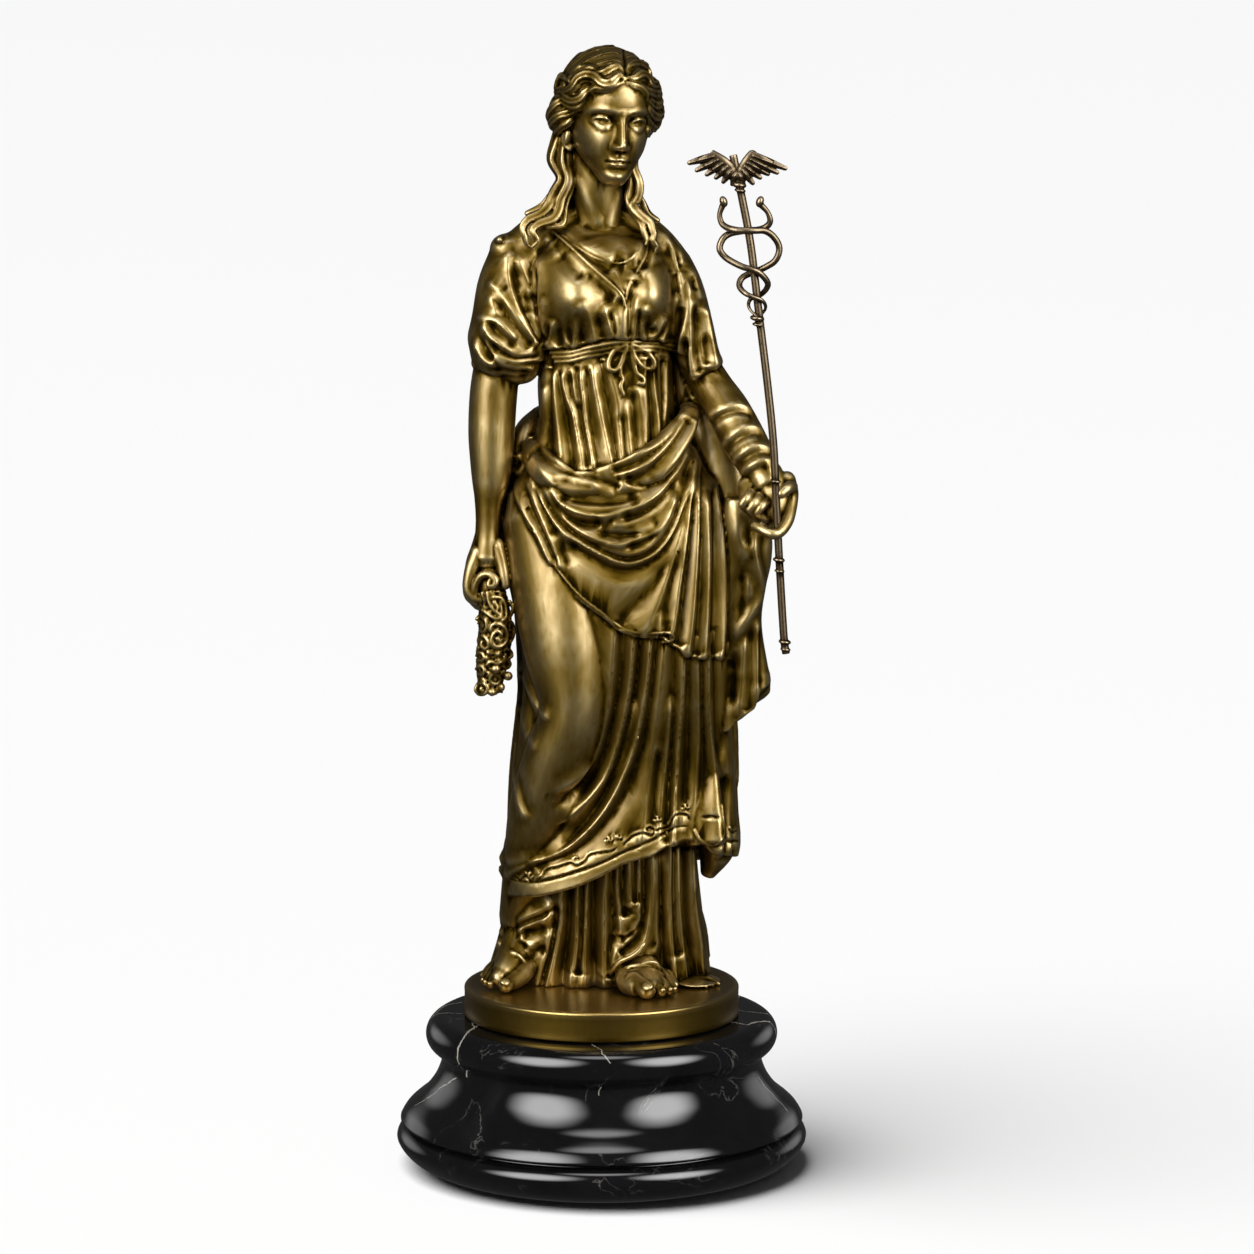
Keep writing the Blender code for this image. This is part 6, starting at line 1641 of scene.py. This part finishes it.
def makeFigure():
    parts = [makeCloth(), makeHead(), makeSmall()]
    meshes = [obj.data.copy() for obj in parts]
    for obj in parts:
        bpy.data.objects.remove(obj)
    figure = fuse("figure", meshes, clay["castGrain"] * (1))
    thin(figure, clay["triangles"][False])
    print("shells", largest(figure))
    changed(figure.data, stand)
    co = coords(figure.data)
    co[:, 2] += (sizes["headTop"] - co[:, 2].max()) * np.clip((co[:, 2] - 440) / 60, 0, 1)
    co[:, 2] = np.minimum(co[:, 2], sizes["headTop"])
    setCoords(figure.data, co)
    patinaAndShade(figure, (0.7, 1.8, 5), (0.55, 0.6, 0.5))
    finishPiece(figure, "goddess", bronze("goddess bronze"))
    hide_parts("figure")


# x,z,y down the staff
staffPath = places([57.8,452,-34, 61.2,436,-34.5, 65.6,413,-35, 69.2,384,-36, 73.2,352,-37, 76,325,-38,
                    77.3,300,-38.5, 79,270,-39, 80.9,240,-40, 82,231.5,-40], 3)
staff = {
    "grain": 0.28,
    "triangles": (60000, 16000),  # full and quick
    # rings as x, z, y, half width, half height, and the two serpents as x,z,y
    "collars": [57.9,454.4,-34,3,1.2, 60.5,439,-34.4,3.2,1.5, 60.9,436.6,-34.5,2.5,0.9, 68.6,380.6,-36.1,3.2,1.4,
        68.9,377.8,-36.2,2.5,0.9, 77,308.5,-38.3,2.5,1, 78.6,273.5,-39,2.7,1.2, 78.9,268.5,-39,2.3,0.8,
        81.4,236.8,-40,2.8,1.2, 81.7,233.4,-40,2.3,1],
    "serpents": [
        [53.5,430.5,-34, 52,426,-34, 53.5,421.5,-34.5, 59,419.2,-38, 66,419,-38.5, 73,418.5,-36, 78,412.5,-35,
         76.5,406,-35, 70,402,-33, 62.5,398.8,-33, 60.8,394.5,-35, 64.5,390.8,-38.5, 70.5,388.5,-38, 72.3,385,-35.5,
         69.5,381,-34],
        [69.8,430.5,-34, 73,427,-34, 74,422.5,-33.5, 70,419.5,-32, 63,419,-32, 55,417,-34, 52,411.5,-35, 55,407,-35.5,
         62,403.2,-38.5, 69,400.8,-38.5, 73.3,395.5,-36, 70,390.8,-33, 65.5,388.8,-33, 65.2,384.8,-36,
         69.5,380.5,-38.5],
    ],
    # each wing by its side: the ends of its root, its shoulder, the tips of its feathers
    "wings": {
        -1: ([49,451.4, 59,444], [48.5,453.6],
             [38.7,448.6, 42,445.4, 46.4,443.6, 50.4,442.2, 53.6,440.4, 57.5,439.4]),
        1: ([67,451.6, 60.5,444], [66,453.4], [80.6,446.2, 77,444.4, 73,443.8, 69.6,442.2, 66.4,439.8, 62.4,438.8]),
    },
}


def wing(side):
    roots, (shoulder,), tips = (places(row) for row in staff["wings"][side])
    forms = []
    for reach, y in ((1, -34.3), (0.55, -35.6)):
        for (x, z), (tipX, tipZ) in zip(smoothPath(roots, 6), tips):
            tipX, tipZ = x + (tipX - x) * reach, z + (tipZ - z) * reach
            midX, midZ = (x + tipX) / 2, (z + tipZ) / 2
            feather = [x, z, y - 0.3, 1.9, midX, midZ, y - 0.5, 1.75, tipX, tipZ, y - 0.1, 1.1]
            quill = [x, z, y - 1.2, 0.34, midX, midZ, y - 1.35, 0.32, tipX, tipZ, y - 0.6, 0.22]
            forms += [tube(feather, depth=0.42, around=20, steps=5), tube(quill, around=8, steps=5)]
    (x, z), (innerX, innerZ) = roots
    arm = [x - side * 0.6, z, -35, 2.2, shoulder[0], shoulder[1] - 1.2, -35.2, 2]
    arm += [(x + innerX) / 2, (z + innerZ) / 2 + 1, -35.4, 2.4, innerX, innerZ, -34.6, 2]
    forms.append(tube(arm, depth=0.6, around=20))
    return forms


def makeStaff():
    forms = [tube([(*p, sizes["staffRadius"]) for p in staffPath], around=24, caps=(0.05, 0.05), steps=5)]
    forms.append(blob((57.3, 457.6, -34), (2.9, 2.9, 2.9), rings=16))
    for x, z, y, wide, tall in places(staff["collars"], 5):
        forms.append(blob((x, z, y), (wide, wide, tall), (0, 8, 0), rings=14))
    forms += wing(-1) + wing(1)
    for path in staff["serpents"]:
        path = places(path, 3)
        rows = smoothPath(path, 60)
        slender = np.interp(np.linspace(0, 1, 60), [0, 0.06, 0.2, 0.7, 1], [1.05, 0.8, 1.1, 1, 0.35])
        radius = sizes["serpentRadius"] * slender
        forms.append(tube([(*p, r) for p, r in zip(rows[::2], radius[::2])], around=16, steps=3))
        x, z, y = path[0]
        lean = -1 if x < 60 else 1
        forms.append(blob((x - lean * 0.2, z + 1.2, y - 0.5), (1.7, 1.9, 2.5), (0, 20 * lean, 0), rings=12))
    piece = fuse("caduceus", forms, staff["grain"] * (1))
    print("staff shells", largest(piece))
    thin(piece, staff["triangles"][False])
    patinaAndShade(piece, (0.6, 1.6, 3.5), (0.4, 0.5, 0.4), reach=7)
    finishPiece(piece, "wingedStaff", bronze("staff bronze"))
    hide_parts("caduceus")


def arc(centre, radii, start, end, count):
    turn = np.radians(np.linspace(start, end, count))
    return [(centre[0] + radii[0] * math.cos(a), centre[1] + radii[1] * math.sin(a)) for a in turn]


def spun(name, outline, steps):
    # an outline of (radius, height) from the bottom up, spun round the Z axis
    bm = bmesh.new()
    verts = [bm.verts.new((0, -r, z)) for r, z in [(0, outline[0][1]), *outline, (0, outline[-1][1])]]
    line = [bm.edges.new(pair) for pair in zip(verts, verts[1:])]
    bmesh.ops.spin(bm, geom=verts + line, cent=(0, 0, 0), axis=(0, 0, 1), angle=2 * math.pi, steps=steps,
                   use_merge=True)
    bmesh.ops.remove_doubles(bm, verts=bm.verts, dist=1e-3)
    bmesh.ops.recalc_face_normals(bm, faces=bm.faces)
    return linked(meshOf(bm, name), name)


socleOutline = {
    # radius,height from the bottom up; each bead is an arc: centre, radii, from, to, points
    "foot": [70,0, 73,0.4, 77,1.5, 81.6,3, 85.4,5, 88.4,7.5, 90.6,10.2, 91.8,12.4],
    "bead": ((81.5, 13.4), (10.5, 7.2), 0, 58, 14),
    "fillet": [87.7,19.4, 87,19.8, 86.8,20.4, 87,20.8, 89.6,21, 90.3,21.5, 90.3,22.2],
    "cove": [90,22.7, 89.2,24.2, 87.8,26.2, 86,28, 83.6,30, 80.4,32.6, 77.6,35.8, 75,39.6, 73.2,43.4, 72.1,46.6,
        71.7,49, 71.8,50.6],
    "step": [72.6,51.3, 72.9,52],
    "upperBead": ((70.3, 60.2), (8.5, 8.3), -58, 84, 24),
    "top": [69.8,68.5, 66,68.5, 40,68.5],
}


def makeSocle():
    foot, bead, fillet, cove, step, upper, top = socleOutline.values()
    outline = np.vstack([smoothPath(places(foot), 30), arc(*bead), places(fillet), smoothPath(places(cove), 40),
                         places(step), arc(*upper), places(top)])
    socle = spun("marble socle", outline, 220)
    finishPiece(socle, "marbleSocle", blackMarble(veinPlaces(socle)), sharp=35)
    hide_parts("marble_socle")


def makePlinth():
    low = sizes["socleTop"] + sizes["gap"]
    high = low + sizes["plinthHeight"]
    r = sizes["plinthRadius"]
    outline = [(r - 0.9, low), (r - 0.25, low + 0.2), (r, low + 0.8)]
    outline += [(r - 0.02 * k, low + 0.8 + (sizes["plinthHeight"] - 2.4) * k / 6) for k in range(1, 6)]
    outline += arc((r - 1.5, high - 1.3), (1.5, 1.3), 0, 90, 8)
    outline += [(k, high) for k in np.linspace(r - 2.2, 1, 40)]
    plinth = spun("bronze plinth", outline, 200)
    mesh = plinth.data
    co = coords(mesh)
    # the deck is a little uneven, as cast
    x, y = co[:, 0], co[:, 1]
    wave = 0.1 * np.sin(x / 7.3 + 1) * np.cos(y / 6.1) + 0.05 * np.sin(x / 2.9) * np.sin(y / 3.3 + 2)
    radius = np.hypot(x, y)
    inner = np.clip((r - 4 - radius) / 6, 0, 1) * (co[:, 2] > high - 0.01)
    co[:, 2] -= (0.16 + wave) * inner * 0.5
    setCoords(mesh, co)
    raised = 0.52 + 0.34 * np.exp(-(((radius - (r - 0.9)) / 1.4) ** 2)) * (co[:, 2] > high - 2.5)
    raised -= 0.25 * np.clip((low + 1.2 - co[:, 2]) / 1.2, 0, 1)
    near = np.ones(len(co))
    # shade gathers where the feet and hem stand on the deck
    for x0, y0, wide, deep in ((8, 6, 44, 34), (-44, -4, 14, 22), (14, -16, 16, 20)):
        near = np.minimum(near, np.clip(np.hypot((x - x0) / wide, (y - y0) / deep) * 1.4 - 0.5, 0, 1))
    free = np.where(co[:, 2] > high - 1, 0.35 + 0.65 * near, 0.9)
    writeLayers(mesh, raised, free)
    finishPiece(plinth, "bronzePlinth", bronze("plinth bronze"))
    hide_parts("bronze_plinth")


makeSocle()
makePlinth()
print("base made")
makeStaff()
print("staff made")
makeFigure()
print("goddess made")


# stage, lights and camera
studio = {
    # azimuth from the camera's side, height of the middle, distance, width, height, watts
    "softboxes": [(-41, 0.95, 1.45, 1.9, 2.2, 43), (46, 0.95, 1.45, 1.75, 2.2, 42), (0, 1.75, 0.5, 1.2, 0.9, 5)],
    "sides": [(-134, 0.3, 1.5, 1.3, 0.9, 1.3), (134, 0.3, 1.5, 1.3, 0.9, 1.3)],  # seen only in the marble
    "sky": 0.05,
    "overhead": 3.85,  # what the floor gets
    "overheadSpread": 58,
    "overheadTilt": (12, -27, 0),
    "target": (0, 0, 0.28),
    "floorColour": (0.93, 0.93, 0.93, 1),
    "camera": (0.0114, -2.15, 0.559),
    "down": 8.35,
    "lens": 140.67,
}


def softEdge(light):
    # brightest in the middle of the cloth, falling off to its rim
    light.use_nodes = True
    tree = light.node_tree
    place = add(tree, "NewGeometry").outputs["Parametric"]
    off = vector2(tree, "DISTANCE", place, (0.5, 0.5, 0))
    glow = mapped(tree, off, 0.12, 0.5, 1.6, 0, "SMOOTHSTEP")
    emission = next(node for node in tree.nodes if node.type == "EMISSION")
    tree.links.new(glow, emission.inputs["Strength"])


def stageAndLights():
    bm = bmesh.new()
    bmesh.ops.create_circle(bm, cap_ends=True, segments=64, radius=60)
    floor = linked(meshOf(bm, "floor"), "floor")
    material, _, shader = newMaterial("pale floor")
    shader.inputs["Base Color"].default_value = studio["floorColour"]
    shader.inputs["Roughness"].default_value = 0.7
    floor.data.materials.append(material)
    floor.visible_glossy = False
    floor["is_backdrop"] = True
    target = Vector(studio["target"])
    onObject, onFloor = bpy.data.collections.new("lit by softboxes"), bpy.data.collections.new("lit from overhead")
    onMarble = bpy.data.collections.new("lit from the sides")
    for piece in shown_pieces():
        onObject.objects.link(piece)
        if piece.name == "marbleSocle":
            onMarble.objects.link(piece)
    onFloor.objects.link(floor)
    for k, (azimuth, height, distance, width, tall, watts) in enumerate(studio["softboxes"] + studio["sides"]):
        a = math.radians(azimuth)
        light = bpy.data.lights.new("softbox %d" % k, "AREA")
        light.shape = "ELLIPSE"
        light.size, light.size_y, light.energy = width, tall, watts
        softEdge(light)
        obj = linked(light, light.name)
        obj.location = (distance * math.sin(a), -distance * math.cos(a), height)
        obj.rotation_euler = (target - obj.location).to_track_quat("-Z", "Y").to_euler()
        obj.light_linking.receiver_collection = onObject if k < len(studio["softboxes"]) else onMarble
    sun = bpy.data.lights.new("overhead", "SUN")
    sun.energy, sun.angle = studio["overhead"], math.radians(studio["overheadSpread"])
    obj = linked(sun, "overhead")
    obj.rotation_euler = [math.radians(turn) for turn in studio["overheadTilt"]]
    obj.light_linking.receiver_collection = onFloor
    world = bpy.data.worlds.new("studio")
    world.use_nodes = True
    background = world.node_tree.nodes["Background"].inputs
    background[0].default_value, background[1].default_value = (1, 1, 1, 1), studio["sky"]
    bpy.context.scene.world = world
    camera = bpy.data.cameras.new("camera")
    camera.lens, camera.sensor_width = studio["lens"], 36
    obj = linked(camera, "camera")
    obj.location = studio["camera"]
    obj.rotation_euler = (math.radians(90 - studio["down"]), 0, 0)
    camera.clip_end = 200
    bpy.context.scene.camera = obj
    bpy.context.scene.view_settings.view_transform = "Standard"


stageAndLights()
print("stage set")
